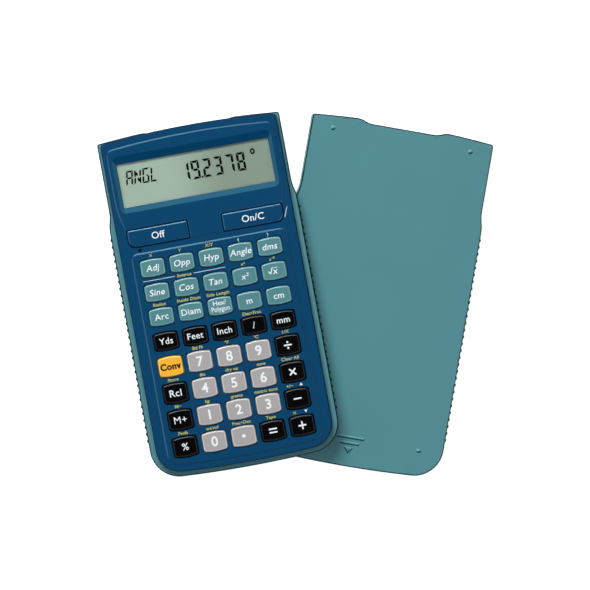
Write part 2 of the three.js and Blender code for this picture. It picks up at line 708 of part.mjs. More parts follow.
// Rear housing: ribbed tray with screw bosses, board posts and the cell compartment
function rearHousing() {
  let body = prism(bodyPlan(), 0, rearTop, BODY_EDGE, BODY_EDGE_STEPS);
  body = body.add(gripRibs(-1, BODY_EDGE, rearTop - BODY_EDGE));
  body = body.add(gripRibs(1, BODY_EDGE, rearTop - BODY_EDGE));
  body = body.subtract(prism(cavityPlan(), BACK_WALL, rearTop + OVERRUN));
  for (const [x, y] of boardPostPlaces()) {
    body = body.add(rod(BOARD_POST_RADIUS, x, y, BACK_WALL - GAP, boardBottom - GAP));
  }
  body = body.add(cellBlock(-1)).add(cellBlock(1)).subtract(doorSlot());
  for (const [, x, y] of screwPlaces()) {
    body = body.add(rod(REAR_BOSS_RADIUS, x, y, BACK_WALL - GAP, rearBossTop));
    body = body.subtract(rod(SCREW_HOLE_RADIUS, x, y, 0, rearBossTop + OVERRUN));
    body = body.subtract(rod(SCREW_HEAD_RADIUS + GAP, x, y, -OVERRUN, SCREW_SINK));
  }
  return body;
}

function displayWindow() {
  const half = displayHalf - GAP;
  const top = ringBottom + WINDOW_THICKNESS;
  return block(-half, half, down(displayEnd - GAP), down(displayStart + GAP), ringBottom, top);
}

function lcdPanel() {
  const half = displayHalf + LCD_BORDER;
  return block(-half, half, down(lcdEnd), down(lcdStart), lcdBottom, lcdTop);
}

function lcdConnector() {
  const half = displayHalf - STRIP_SIDE_MARGIN;
  const bottom = boardTop + GAP;
  return block(-half, half, down(stripEnd), down(stripStart), bottom, bottom + STRIP_HEIGHT);
}

// Circuit board with the sealed chip on its underside
function circuitBoard() {
  const board = block(-boardHalf, boardHalf, down(boardEnd), down(boardStart), boardBottom, boardTop);
  const chip = turned([
    [0, boardBottom - CHIP_HEIGHT],
    [CHIP_RADIUS / 2, boardBottom - CHIP_HEIGHT],
    [CHIP_RADIUS, boardBottom - CHIP_HEIGHT / 2],
    [CHIP_RADIUS, boardBottom + BOARD_THICKNESS / 2],
    [0, boardBottom + BOARD_THICKNESS / 2],
  ], 0, down(firstRow + CHIP_FROM_FIRST_ROW), ROUND_SIDES);
  return board.add(chip);
}

// Rubber sheet with one dome below the middle of each key
function keypadMembrane(grid) {
  const top = down(wideKeyStart);
  const sheet = block(-boardHalf, boardHalf, down(boardEnd), top, membraneBottom, membraneTop);
  const wideX = (WIDE_KEY_INNER + frontHalf - WIDE_KEY_SIDE_MARGIN) / 2;
  const wideY = down((wideKeyStart + wideKeyEnd) / 2);
  const places = [...grid, { x: -wideX, y: wideY }, { x: wideX, y: wideY }];
  const profile = [
    [0, membraneBottom + MEMBRANE_THICKNESS / 2],
    [DOME_FOOT_RADIUS, membraneBottom + MEMBRANE_THICKNESS / 2],
    [DOME_FOOT_RADIUS, membraneTop],
    [DOME_TOP_RADIUS, domeTop],
    [0, domeTop],
  ];
  return joined([sheet, ...places.map(({ x, y }) => turned(profile, x, y, DOME_SIDES))]);
}

function buttonCell(place) {
  const canTop = cellTop - CELL_CAP_HEIGHT;
  return turned([
    [0, cellBottom],
    [CELL_RADIUS - CELL_SHOULDER, cellBottom],
    [CELL_RADIUS, cellBottom + CELL_SHOULDER],
    [CELL_RADIUS, canTop - CELL_SHOULDER],
    [CELL_CAP_RADIUS, canTop],
    [CELL_CAP_RADIUS, cellTop],
    [0, cellTop],
  ], 0, down(place), CELL_SIDES);
}

// Thin metal contact beside the cells, with a tail that runs over the circuit board's edge
function batteryContact(side, place) {
  const inner = CELL_RADIUS + GAP;
  const outer = inner + CONTACT_THICKNESS;
  const top = cellTop - CONTACT_TOP_MARGIN;
  const blade = block(inner, outer, down(lowerCell + CELL_RADIUS), down(place), top - CONTACT_HEIGHT, top);
  const tailEnd = down(boardStart + CONTACT_TAIL_LENGTH);
  const tail = block(inner, outer, tailEnd, down(place), top - CONTACT_TAIL_HEIGHT, top);
  return onSide(blade.add(tail), side);
}

// Battery door: plate in the slot, tongues in the grooves and grip grooves outside
function batteryDoor() {
  const end = down(cellBlockEnd) + GAP;
  const top = halfLength - NOTCH_DEPTH;
  const tongueHalf = doorHalf + DOOR_TONGUE_WIDTH;
  let body = block(-doorHalf, doorHalf, end, top, 0, doorTop);
  body = body.add(block(-tongueHalf, tongueHalf, end, top, DOOR_SKIN + GAP, doorTop));
  for (let index = 0; index < DOOR_GRIP_COUNT; index += 1) {
    const y = end + DOOR_GRIP_FROM_END + index * DOOR_GRIP_PITCH;
    const half = DOOR_GRIP_LENGTH / 2;
    body = body.subtract(block(-half, half, y, y + DOOR_GRIP_WIDTH, -OVERRUN, DOOR_GRIP_DEPTH));
  }
  return body;
}

function screw(x, y) {
  const bearing = SCREW_SINK - GAP;
  return turned([
    [0, bearing - SCREW_HEAD_HEIGHT],
    [SCREW_HEAD_RADIUS, bearing - SCREW_HEAD_HEIGHT],
    [SCREW_HEAD_RADIUS, bearing],
    [SCREW_RADIUS, bearing],
    [SCREW_RADIUS, pilotEnd - GAP],
    [0, pilotEnd - GAP],
  ], x, y, ROUND_SIDES);
}

// Raised bars and outlined arrow that show which way the cover slides
function slideMark() {
  const bottom = COVER_DEPTH - COVER_PLATE / 2;
  const top = COVER_DEPTH + MARK_HEIGHT;
  const bar = (length, fromBottom) => {
    const y = fromBottom - halfLength;
    return block(-length / 2, length / 2, y - MARK_LINE / 2, y + MARK_LINE / 2, bottom, top);
  };
  const arrowTop = ARROW_FROM_BOTTOM - halfLength;
  const triangle = (shrink) => new THREE.Shape([
    new THREE.Vector2(-ARROW_WIDTH / 2 + shrink, arrowTop - shrink / 2),
    new THREE.Vector2(ARROW_WIDTH / 2 - shrink, arrowTop - shrink / 2),
    new THREE.Vector2(0, arrowTop - ARROW_LENGTH + shrink),
  ]);
  const arrow = prism(triangle(0), bottom, top);
  const inside = prism(triangle(MARK_LINE), COVER_DEPTH, top + OVERRUN);
  const bars = bar(LONG_BAR, LONG_BAR_FROM_BOTTOM).add(bar(SHORT_BAR, SHORT_BAR_FROM_BOTTOM));
  return bars.add(arrow.subtract(inside));
}

// Cover: plate with walls on both sides and at the bottom end, open at the notched end
function slideCover() {
  const innerHalf = frontHalf + COVER_RUNNING_GAP;
  let body = prism(bodyPlan(), -BODY_EDGE, COVER_DEPTH, BODY_EDGE, BODY_EDGE_STEPS);
  body = body.subtract(block(-gripHalf, gripHalf, -halfLength, halfLength, -OVERRUN - BODY_EDGE, 0));
  body = body.add(gripRibs(-1, BODY_EDGE, COVER_DEPTH - BODY_EDGE));
  body = body.add(gripRibs(1, BODY_EDGE, COVER_DEPTH - BODY_EDGE));
  const hollow = bowedPlan({
    half: innerHalf,
    top: halfLength + OVERRUN * 2,
    topBow: 0,
    topRadius: CAVITY_TOP_RADIUS,
    bottom: -halfLength + COVER_END_WALL,
    bottomBow: BOTTOM_BOW,
    bottomRadius: FRONT_BOTTOM_RADIUS,
  });
  body = body.subtract(prism(hollow, -OVERRUN, COVER_DEPTH - COVER_PLATE));
  for (const x of [-PIP_SPACING / 2, PIP_SPACING / 2]) {
    for (const y of [down(PIP_FROM_TOP), PIP_FROM_BOTTOM - halfLength]) {
      body = body.add(rod(PIP_RADIUS, x, y, COVER_DEPTH - COVER_PLATE / 2, COVER_DEPTH + PIP_HEIGHT));
    }
  }
  return body.add(slideMark());
}

// Everything that belongs to the calculator, in its own group
function calculatorPieces() {
  const grid = keyGrid();
  const pieces = [
    piece('front_housing', frontHousing(grid), BLUE_PLASTIC),
    piece('rear_housing', rearHousing(), TEAL_PLASTIC),
    piece('display_window', displayWindow(), CLEAR_PLASTIC),
    piece('lcd_panel', lcdPanel(), LCD_GLASS),
    piece('lcd_connector', lcdConnector(), RUBBER),
    piece('circuit_board', circuitBoard(), BOARD_GREEN),
    piece('keypad_membrane', keypadMembrane(grid), MEMBRANE_RUBBER),
    piece('button_cell_upper', buttonCell(upperCell), STEEL),
    piece('button_cell_lower', buttonCell(lowerCell), STEEL),
    piece('battery_contact_positive', batteryContact(1, lowerCell - CELL_RADIUS / 2), STEEL),
    piece('battery_contact_negative', batteryContact(-1, upperCell - CELL_RADIUS / 2), STEEL),
    piece('battery_door', batteryDoor(), TEAL_PLASTIC),
    piece('off_key', wideKey(-1), BLUE_PLASTIC),
    piece('on_clear_key', wideKey(1), BLUE_PLASTIC),
  ];
  for (const key of grid) pieces.push(piece(key.name, gridKey(key), key.look));
  for (const [place, x, y] of screwPlaces()) pieces.push(piece(`screw_${place}`, screw(x, y), STEEL));
  return pieces;
}

// Angle at which the calculator's back leans from the table onto the cover's ribbed edge
function leanAngle() {
  const cornerX = shoulderHalf - BODY_EDGE;
  const cornerY = halfLength - TOP_BOW - BODY_EDGE;
  const cornerReach = cornerX * Math.cos(CALCULATOR_TURN) + cornerY * Math.sin(CALCULATOR_TURN);
  const run = cornerReach - CALCULATOR_OFFSET_X - gripHalf - RIB_HEIGHT;
  return Math.asin((COVER_DEPTH + GAP) / run);
}

const turnedCalculator = new THREE.Group();
turnedCalculator.rotation.z = CALCULATOR_TURN;
turnedCalculator.add(...calculatorPieces());

const calculator = new THREE.Group();
calculator.rotation.y = -leanAngle();
calculator.add(turnedCalculator);
const lowestPoint = new THREE.Box3().setFromObject(calculator, true).min.z;
calculator.position.set(CALCULATOR_OFFSET_X, CALCULATOR_OFFSET_Y, -lowestPoint);

// The whole part, moved so that its origin is the bottom middle of its box
const part = new THREE.Group();
part.add(calculator, piece('slide_cover', slideCover(), TEAL_PLASTIC));
const middle = new THREE.Box3().setFromObject(part, true).getCenter(new THREE.Vector3());
part.position.set(-middle.x, -middle.y, 0);

export default part;
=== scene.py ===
"""Looks of a construction calculator that leans on its loose slide cover.

Shapes are drawn in millimetres, with X to the right, Y towards the top end and Z out of the face. They are
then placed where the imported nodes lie. Outlines run clockwise from the middle of the top end.
"""

import json
from math import atan2, cos, pi, radians, sin

import bmesh
import bpy
from mathutils import Matrix, Vector


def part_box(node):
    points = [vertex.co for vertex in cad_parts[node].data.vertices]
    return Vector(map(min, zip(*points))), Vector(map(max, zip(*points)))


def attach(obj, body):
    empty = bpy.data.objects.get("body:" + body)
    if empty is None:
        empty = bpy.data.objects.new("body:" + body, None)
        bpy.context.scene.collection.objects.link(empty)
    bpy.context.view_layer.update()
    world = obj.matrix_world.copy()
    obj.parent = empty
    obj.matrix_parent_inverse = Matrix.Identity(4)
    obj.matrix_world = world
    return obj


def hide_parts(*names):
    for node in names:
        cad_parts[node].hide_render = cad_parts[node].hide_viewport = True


MM = 0.001

# Running clearance of the real part, and how far a cut runs past the face that it opens
GAP = 0.3
OVERRUN = 1.0

# Plan of the body, shared by the rear housing and the cover
SHOULDER_STEP = 1.2
FLARE_START = 28.7
FLARE_LENGTH = 9.8
TOP_BOW = 1.8
TOP_CORNER = 1.0
NOTCH_HALF = 19.5
NOTCH_FLOOR_HALF = 12.5
NOTCH_DEPTH = 1.4
BOTTOM_BOW = 1.6
BOTTOM_CORNER = 11.5
BODY_EDGE = 0.8
CORNER_HANDLE_SHARE = 0.5523

# Grip ribs: their pitch, their stretch along the side, and half a rib's outline
RIB_PITCH = 2.88
FIRST_RIB = 41.0
LAST_RIB_FROM_END = 16.7
RIB_HEIGHT = 0.4
RIB_HALF = 0.75
RIB_OUTLINE_SHARES = [(1.0, 0.0), (0.8, 0.35), (0.62, 0.85), (0.4, 1.0), (0.0, 1.0)]
RIB_END_SLOPE = 0.4

# Front housing and the raised panels on its face
FRONT_TOP_INSET = 0.5
FRONT_TOP_RADIUS = 1.8
FRONT_BOTTOM_INSET = 1.9
FRONT_BOTTOM_RADIUS = 9.6
FRONT_HEIGHT = 4.0
FRONT_PLATE = 2.0
FRONT_EDGE = 0.8
SKIRT_WALL = 1.6
TOP_WALL = 3.0
CAVITY_TOP_RADIUS = 1.0
CAVITY_BOTTOM_RADIUS = 8.0
PANEL_RISE = 0.2
PANEL_SLOPE = 0.6
PANEL_GROOVE = 0.06
GROOVE_DEPTH = 0.12
DISPLAY_PANEL_TOP = 3.2
DISPLAY_PANEL_INSET = 2.0
DISPLAY_PANEL_RADIUS = 2.7
DISPLAY_PANEL_BEND = 4.75
DISPLAY_PANEL_WAIST = 3.05
KEYPAD_PANEL_INSET = 4.5
KEYPAD_PANEL_ABOVE = 6.45
KEYPAD_PANEL_BELOW = 7.9
KEYPAD_PANEL_RADIUS = 2.7
KEYPAD_PANEL_LOWER_RADIUS = 4.0

# Display: recess in the face, and the ring round the window
RECESS_DEPTH = 1.4
RECESS_SIDE = 1.4
RECESS_UPPER = 3.1
RECESS_LOWER = 2.1
RECESS_RADIUS = 2.2
RECESS_LIP = 0.15
RECESS_KNEE = (0.93, 0.12)
RECESS_CREASE = (0.02, 0.05)
OPENING_RADIUS = 0.25
LCD_BORDER = 1.8
LCD_FADE = 13.0

# Keys
FLANGE_OVERLAP = 0.75
FLANGE_THICKNESS = 1.2
KEY_BOW = 0.35
KEY_CORNER = 1.1
KEY_EDGE = 0.6
HOLE_LIP = 0.2
WIDE_KEY_BEVEL = [(0.0, 0.6), (0.35, 0.165), (0.69, 0.0)]
WIDE_KEY_SWELL = 0.12
WIDE_HOLE_LIP = 0.28
WIDE_KEY_RADIUS = 0.9
WIDE_KEY_OUTER_RADIUS = 3.7

# Reset pinhole, and the small raised slash beside the right wide key, with a white line along its crest as a
# painted highlight
PINHOLE_RADIUS = 0.6
PINHOLE_INSET = 8.5
PINHOLE_BELOW_WIDE_KEY = 1.45
SLASH_TOP = (34.1, 1.8)
SLASH_FOOT = (32.5, 6.0)
SLASH_WIDTH = 0.6
SLASH_RISE = 0.25
SLASH_HIGHLIGHT_WIDTH = 0.2
SLASH_PROFILE = [(0.0, 0.3), (0.15, 0.8), (0.3, 1.0)]

# Battery compartment, its door and the screws
BACK_WALL = 1.8
DOOR_SKIN = 0.9
DOOR_TONGUE = 1.1
DOOR_EDGE = 0.25
DOOR_GRIP_COUNT = 4
DOOR_GRIP_PITCH = 2.0
DOOR_GRIP_WIDTH = 0.9
DOOR_GRIP_DEPTH = 0.45
DOOR_GRIP_LENGTH = 10.0
DOOR_GRIP_RADIUS = 0.4
DOOR_GRIP_FROM_END = 5.0
DOOR_ARROW_FROM_GRIP = 3.2
DOOR_ARROW_SIZE = 2.6
CELL_BLOCK_INNER = 6.7
CELL_BLOCK_WIDTH = 3.9
CELL_EDGE = 0.5
CELL_CAP_PROFILE = [
    (0.0, 1.0), (0.15, 0.7), (0.5, 0.6), (0.8, 0.6), (0.9, 0.5), (0.95, 0.15), (1.1, 0.0),
]
BOARD_THICKNESS = 1.0
SCREW_SINK = 2.4
SCREW_HOLE_RADIUS = 1.1
SCREW_RADIUS = 0.8
SCREW_TIP = (0.3, 0.6)
SCREW_HEAD_RADIUS = 1.7
SCREW_HEAD_PROFILE = [(0.75, 0.0), (0.93, 0.2), (1.0, 0.5)]
SCREW_CROSS_LENGTH = 2.2
SCREW_CROSS_WIDTH = 0.5
SCREW_CROSS_DEPTH = 0.7
REAR_BOSS_RADIUS = 2.7
REAR_BOSS_HEIGHT = 3.2
FRONT_BOSS_RADIUS = 2.0
PILOT_STOP = 0.9
POST_RADIUS = 1.5
POST_INSET = 12.5

# Loose cover
COVER_PLATE = 1.4
COVER_RUNNING_GAP = 0.4
COVER_END_WALL = 1.5
PIP_RADIUS = 1.0
PIP_HEIGHT = 0.3
PIP_PROFILE = [(1.0, -1.0), (1.0, 0.0), (0.5, 0.9), (0.3, 1.0), (0.0, 1.0)]
PIP_ACROSS = 28.8
PIP_FROM_TOP = 5.8
PIP_FROM_BOTTOM = 11.4
MARK_HEIGHT = 0.3
MARK_LINE = 1.3
MARK_SLOPE = 0.56
MARK_ROUND = 0.47
MARK_BARS = [(12.0, 12.1), (8.5, 9.7)]
ARROW_WIDTH = 4.4
ARROW_LENGTH = 2.9
ARROW_FROM_BOTTOM = 8.1

# Printing: its thickness, the letters' heights and weights, the signs' sizes, and the places of what stands
# between the keys. Weights are shares of a letter's height, and places lie right of and above a middle.
PRINT_RISE = 0.03
PRINT_ROOT = 0.05
CAP_SHARE = 0.682
WORD_HEIGHT = 2.5
SMALL_WORD_HEIGHT = 1.9
DIGIT_HEIGHT = 3.85
WIDE_WORD_HEIGHT = 2.7
SECOND_HEIGHT = 1.25
SECOND_STRETCH = 1.12
SECOND_BOLD = 0.016
BOLD = 0.012
FIGURE_BOLD = 0.028
DARK_BOLD = 0.06
FINE_BOLD = 0.01
SLANT = 0.2
SECOND_SLANT = SLANT * 0.6
SECOND_ABOVE_KEY = 1.4
LARGE_WORD = 1.12
WORD_SPACING = 1.06
WIDE_WORD_SPACING = 1.04
SIGN_LENGTH = 3.3
SIGN_WIDTH = 0.62
SIGN_DOT_RADIUS = 0.42
SIGN_DOT_APART = 1.2
EQUALS_APART = 0.72
CROSS_ARM = 0.78
CROSS_BREAK = 0.4
POINT_KEY_RADIUS = 0.75
SYMBOL_HEIGHT = 2.5
SYMBOL_BOLD = 0.006
POLYGON_LINES = (1.35, -1.1)
POLYGON_STRETCH = 0.88
ROOT_BOLD = 0.004
ROOT_LEFT = -1.5
ROOT_X_HEIGHT = 2.6
ROOT_X_RIGHT = 0.4
ROOT_BAR = (-0.85, 1.25, 1.5, 1.25, 0.22)
TIMES_PLACE = (-0.8, -0.1)
TEN_PLACE = (0.6, 0.3)
TEN_HEIGHT = SECOND_HEIGHT * 0.7
BAR_ROUND = 0.2
LINE_WIDTH = 0.18
LINE_BREAK = 3.9
WEDGE = [(-0.3, -0.38), (-0.3, 0.38), (0.3, 0)]
WEDGE_GAP = 0.75
SIDE_ARROW = [(-0.7, -0.5), (0.0, 0.6), (0.7, -0.5)]
SIDE_ARROW_SHIFT = 0.5
SIDE_WORD_SHIFT = 0.45

# Display characters: places right of the middle and down from the top end, sizes, strokes and slants
DIGIT_PLACES = [-4.2, 0.1, 4.8, 9.5, 14.3, 19.0]
DIGIT_FROM_TOP = 18.7
DIGIT_SIZE = (3.45, 7.6)
DIGIT_STROKE = 1.0
POINT_PLACE = (2.45, 22.05)
POINT_SIZE = 0.75
DEGREE_PLACE = (24.3, 15.4)
DEGREE_SIZE = (1.0, 1.25)
DEGREE_STROKE = 0.65
LETTER_PITCH = 3.4
FIRST_LETTER = -27.1
LETTER_FROM_TOP = 17.3
LETTER_SIZE = (2.85, 6.1)
LETTER_STROKE = 0.72
LETTER_SLANT = 0.15
SEGMENT_THICKNESS = 0.03
SEGMENT_TIP = 0.12
DIAGONAL_INSET = 0.6
DIAGONAL_GAP = 0.5
POINT_ROUND = 0.3

# Materials: the Mix node's colour sockets, the part of a noise that is used, the drift of plastic's tone, the
# tone of thin ink, and steel's darker lines, spread of roughness and stretch of its lines
MIX_FIRST, MIX_SECOND, MIX_RESULT = 6, 7, 2
NOISE_MIDDLE = (0.3, 0.7)
TONE_DRIFT = 0.025
INK_THIN = 0.93
STEEL_DARK = 0.85
STEEL_SPREAD = 0.08
STEEL_STRETCH = (1, 1, 14)

# Scales of the noises in waves per metre
TONE_WAVES = 38
GLOSS_WAVES = 420
GRAIN_WAVES = 3400
INK_WAVES = 2600
INK_GRAIN_WAVES = 5200
STEEL_WAVES = 1500

# Numbers of a piece's extra finishes (an edge tone, painted light and painted shade), the upward shares of a
# face's normal between which they are used, and the height from which a face belongs to a mark or a panel
EDGE, LIGHT, DARK = 1, 2, 3
RIM_FACES = (0.05, 0.86)
RIM_DEPTH = BODY_EDGE + RIB_END_SLOPE * 1.5
CAP_EDGE_FACES = (0.15, 0.985)
WIDE_KEY_UPPER_FACES = (0.7, 0.985)
WIDE_KEY_LOWER_FACES = (0.15, 0.7)
RECESS_FACES = (0.4, 0.995)
PANEL_FACES = (0.86, 0.9)
PANEL_FACES_BY_WIDE_KEY = (0.7, 0.995)
LIP_FACES = (0.1, 0.9)
MARK_TOP_FACES = 0.995
MARK_FOOT = 0.01
PANEL_FOOT = 0.02

# Which way the slopes with painted light look, and how far from it a slope has neither painted light nor
# painted shade
RECESS_LIGHT_FROM = -0.2
MARK_LIGHT_X = -0.35
MARK_LIGHT_Y = 0.94
MARK_PLAIN = 0.05

# Shading: the angle from which an edge is sharp, and the weight of large faces in the smooth normals
SHARP_ANGLE = 38
NORMAL_WEIGHT = 60

# Light: the surroundings' brightness from low down to overhead, between two heights of the sky
WORLD_BRIGHTNESS = (0.04, 0.44)
WORLD_HEIGHTS = (0.64, 0.95)
WORLD_COLOUR = (0.96, 0.98, 1.0, 1)
FLOOR_SIZE = 6
FLOOR_TONES = ((0.90, 0.90, 0.90), (0.93, 0.93, 0.93))
FLOOR_ROUGHNESS = 0.9
FLOOR_GLOW = 0.72

# Lamps: the place to the photograph's right and up, the height, the size in millimetres, the power in watts
LAMPS = {
    "key": (-430, 850, 1090, 700, 16.5),
    "side": (-1100, -190, 840, 700, 1.2),
    "fill": (450, -420, 1350, 1200, 4.5),
}

# Least spread of a corner that a grown outline follows, and the smoothness of curves, round pieces and edges
SHARP_CORNER = 0.4
CURVE_STEPS = 10
CORNER_STEPS = 6
EDGE_STEPS = 4
ROUND_STEPS = 48
DOT_STEPS = 24
SIGN_DOT_STEPS = 16

# Photograph: turn and middle of its frame, its width at the cover's top, and the camera's distance, reach in
# metres and sensor
PHOTO_TURN = radians(9.8)
PHOTO_MIDDLE = (9.24, 2.67)
PHOTO_WIDTH = 242.2
PHOTO_LEVEL = 7.4
CAMERA_DISTANCE = 2500.0
CAMERA_REACH = 20
SENSOR_WIDTH = 36.0

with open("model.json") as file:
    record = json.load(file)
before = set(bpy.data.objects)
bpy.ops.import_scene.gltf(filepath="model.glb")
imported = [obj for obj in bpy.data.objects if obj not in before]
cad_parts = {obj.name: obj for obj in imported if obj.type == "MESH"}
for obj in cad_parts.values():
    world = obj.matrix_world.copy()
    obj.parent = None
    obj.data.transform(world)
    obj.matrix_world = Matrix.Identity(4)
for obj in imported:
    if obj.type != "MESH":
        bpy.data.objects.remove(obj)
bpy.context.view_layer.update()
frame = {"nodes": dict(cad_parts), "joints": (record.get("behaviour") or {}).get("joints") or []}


def measured(node, place=None):
    """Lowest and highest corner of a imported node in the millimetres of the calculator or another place."""
    back = (place or CALCULATOR).inverted()
    points = [back @ vertex.co for vertex in frame["nodes"][node].data.vertices]
    low = Vector([min(point[axis] for point in points) for axis in range(3)])
    high = Vector([max(point[axis] for point in points) for axis in range(3)])
    return low, high


def middle_of(low, high):
    return (low.x + high.x) / 2, (low.y + high.y) / 2


def calculator_place():
    """From the calculator's own millimetres to the row frame, by its joints and its rear housing."""
    axes = {joint["name"]: Vector(joint["axis"]) for joint in frame["joints"]}
    up = -axes["off_key_press"].normalized()
    along = axes["battery_door_slide"].normalized()
    across = along.cross(up)
    turn = Matrix((across, along, up)).transposed().to_4x4() @ Matrix.Scale(MM, 4)
    low, high = measured("rear_housing", turn)
    origin = turn @ Vector((*middle_of(low, high), low.z))
    return Matrix.Translation(origin) @ turn


def cover_place():
    low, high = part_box("slide_cover")
    return Matrix.Translation((*middle_of(low, high), low.z)) @ Matrix.Scale(MM, 4)


CALCULATOR = calculator_place()
COVER = cover_place()
REAR_LOW, REAR_HIGH = measured("rear_housing")
FRONT_LOW, FRONT_HIGH = measured("front_housing")
WINDOW_LOW, WINDOW_HIGH = measured("display_window")
LCD_LOW, LCD_HIGH = measured("lcd_panel")
WIDE_LOW, WIDE_HIGH = measured("on_clear_key")
DOOR_LOW, DOOR_HIGH = measured("battery_door")
HALF_LENGTH = REAR_HIGH.y
GRIP_HALF = REAR_HIGH.x - RIB_HEIGHT
SHOULDER_HALF = GRIP_HALF - SHOULDER_STEP
FRONT_HALF = FRONT_HIGH.x
FACE = FRONT_HIGH.z - PANEL_RISE
PANEL = FRONT_HIGH.z
PLATE_BOTTOM = FACE - FRONT_PLATE
FRONT_BASE = FACE - FRONT_HEIGHT
REAR_TOP = FRONT_BASE - GAP
OPENING_HALF = WINDOW_HIGH.x + GAP
OPENING_TOP = WINDOW_HIGH.y + GAP
OPENING_BOTTOM = WINDOW_LOW.y - GAP
WIDE_INNER = WIDE_LOW.x + FLANGE_OVERLAP
WIDE_OUTER = WIDE_HIGH.x - FLANGE_OVERLAP
WIDE_TOP = WIDE_HIGH.y - FLANGE_OVERLAP
WIDE_BOTTOM = WIDE_LOW.y + FLANGE_OVERLAP
COVER_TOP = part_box("slide_cover")[1].z / MM - PIP_HEIGHT
MARK_ROOT = COVER_TOP - COVER_PLATE / 2

# The keys by rows of five from the display down, each with its legend and the small yellow word above it.
# Figures and arithmetic signs are drawn from the key's name.
KEY_TABLE = [
    ("adjacent_key", "Adj", "X"), ("opposite_key", "Opp", "Y"), ("hypotenuse_key", "Hyp", "X/Y"),
    ("angle_key", "Angle", ""), ("degrees_key", "dms", ""),
    ("sine_key", "Sine", ""), ("cosine_key", "Cos", "Inverse"), ("tangent_key", "Tan", ""),
    ("square_key", "", "x³"), ("root_key", "", ""),
    ("arc_key", "Arc", "Radius"), ("diameter_key", "Diam", "Inside Diam"), ("polygon_key", "", "Side Length"),
    ("metre_key", "m", ""), ("centimetre_key", "cm", ""),
    ("yards_key", "Yds", ""), ("feet_key", "Feet", ""), ("inch_key", "Inch", ""),
    ("fraction_key", "/", "Dec▸Frac"), ("millimetre_key", "mm", ""),
    ("convert_key", "Conv", ""), ("key_7", "", "Bd Ft"), ("key_8", "", "°F"), ("key_9", "", "°C"),
    ("divide_key", "", "1/X"),
    ("recall_key", "Rcl", "Store"), ("key_4", "", "lbs"), ("key_5", "", "dry oz"), ("key_6", "", "tons"),
    ("multiply_key", "", "Clear All"),
    ("memory_key", "M+", "M−"), ("key_1", "", "kg"), ("key_2", "", "grams"), ("key_3", "", "metric tons"),
    ("minus_key", "", "+/−"),
    ("percent_key", "%", "Prefs"), ("key_0", "", "wt/vol"), ("point_key", "", "Frac▸Dec"),
    ("equals_key", "", "Tape"), ("plus_key", "", "π"),
]
KEY_NAMES = [name for name, _, _ in KEY_TABLE]
SLANTED_KEYS = set(KEY_NAMES[:10])
TEAL_KEYS = set(KEY_NAMES[:15])
GREY_KEYS = {name for name in KEY_NAMES if name.startswith("key_")} | {"point_key"}
LARGE_WORD_KEYS = {"recall_key", "memory_key", "percent_key"}
WIDE_KEYS = [("off_key", "Off", -1), ("on_clear_key", "On/C", 1)]


def down(distance):
    """Y of a place that lies a distance from the top end."""
    return HALF_LENGTH - distance


# Outlines


def partway(first, second, share):
    """Points that lie at a share of the way between those of two lists."""
    return [(a[0] + (b[0] - a[0]) * share, a[1] + (b[1] - a[1]) * share) for a, b in zip(first, second)]


def bend(points, *handles, steps=CURVE_STEPS):
    """Adds a Bezier stretch from the last point, by its handles, to its end."""
    start = [points[-1], *handles]
    for step in range(1, steps + 1):
        share = step / steps
        level = start
        while len(level) > 1:
            level = partway(level, level[1:], share)
        points.append(level[0])


def bow(points, peak, drop, half, to_x, steps=CURVE_STEPS):
    """Adds a stretch of a bowed end, which drops from its peak in the middle to peak - drop at half."""
    from_x = points[-1][0]
    for step in range(1, steps + 1):
        x = from_x + (to_x - from_x) * step / steps
        points.append((x, peak - drop * (x / half) ** 2))


def lower_corner(points, half, radius, bottom, drop):
    """Adds a side's round lower corner above a bowed bottom end."""
    foot_x = half - radius
    slope = 2 * drop * foot_x / half**2
    foot_y = bottom + drop * (foot_x / half) ** 2
    handle = radius * CORNER_HANDLE_SHARE
    points.append((half, foot_y + (slope + 1) * radius))
    bend(
        points,
        (half, foot_y + (slope + 1) * radius - handle),
        (foot_x + handle, foot_y + slope * handle),
        (foot_x, foot_y),
        steps=CURVE_STEPS * 2,
    )


def mirrored(right):
    """A whole outline from its right half, which runs from the top middle to the bottom middle."""
    return right + [(-x, y) for x, y in reversed(right) if x > 0]


def body_plan(rib=0.0):
    """Plan of the rear housing and the cover, with its ribs at a share of their height."""
    middle = (NOTCH_HALF + NOTCH_FLOOR_HALF) / 2
    floor = HALF_LENGTH - NOTCH_DEPTH
    peak = HALF_LENGTH + TOP_BOW * (NOTCH_HALF / SHOULDER_HALF) ** 2
    shoulder = peak - TOP_BOW
    flare_end = down(FLARE_START + FLARE_LENGTH)
    flare_middle = down(FLARE_START + FLARE_LENGTH / 2)
    points = [(0, floor), (NOTCH_FLOOR_HALF, floor)]
    bend(points, (middle, floor), (middle, HALF_LENGTH), (NOTCH_HALF, HALF_LENGTH))
    bow(points, peak, TOP_BOW, SHOULDER_HALF, SHOULDER_HALF - TOP_CORNER)
    bend(points, (SHOULDER_HALF, shoulder), (SHOULDER_HALF, shoulder - TOP_CORNER), steps=EDGE_STEPS)
    points.append((SHOULDER_HALF, down(FLARE_START)))
    bend(points, (SHOULDER_HALF, flare_middle), (GRIP_HALF, flare_middle), (GRIP_HALF, flare_end))
    place = FIRST_RIB
    while place < HALF_LENGTH * 2 - LAST_RIB_FROM_END:
        upper = [
            (GRIP_HALF + RIB_HEIGHT * rib * up, down(place) + RIB_HALF * away)
            for away, up in RIB_OUTLINE_SHARES
        ]
        lower = [(x, 2 * down(place) - y) for x, y in reversed(upper[:-1])]
        points += upper + lower
        place += RIB_PITCH
    lower_corner(points, GRIP_HALF, BOTTOM_CORNER, -HALF_LENGTH, BOTTOM_BOW)
    bow(points, -HALF_LENGTH, -BOTTOM_BOW, GRIP_HALF, 0)
    return mirrored(points)


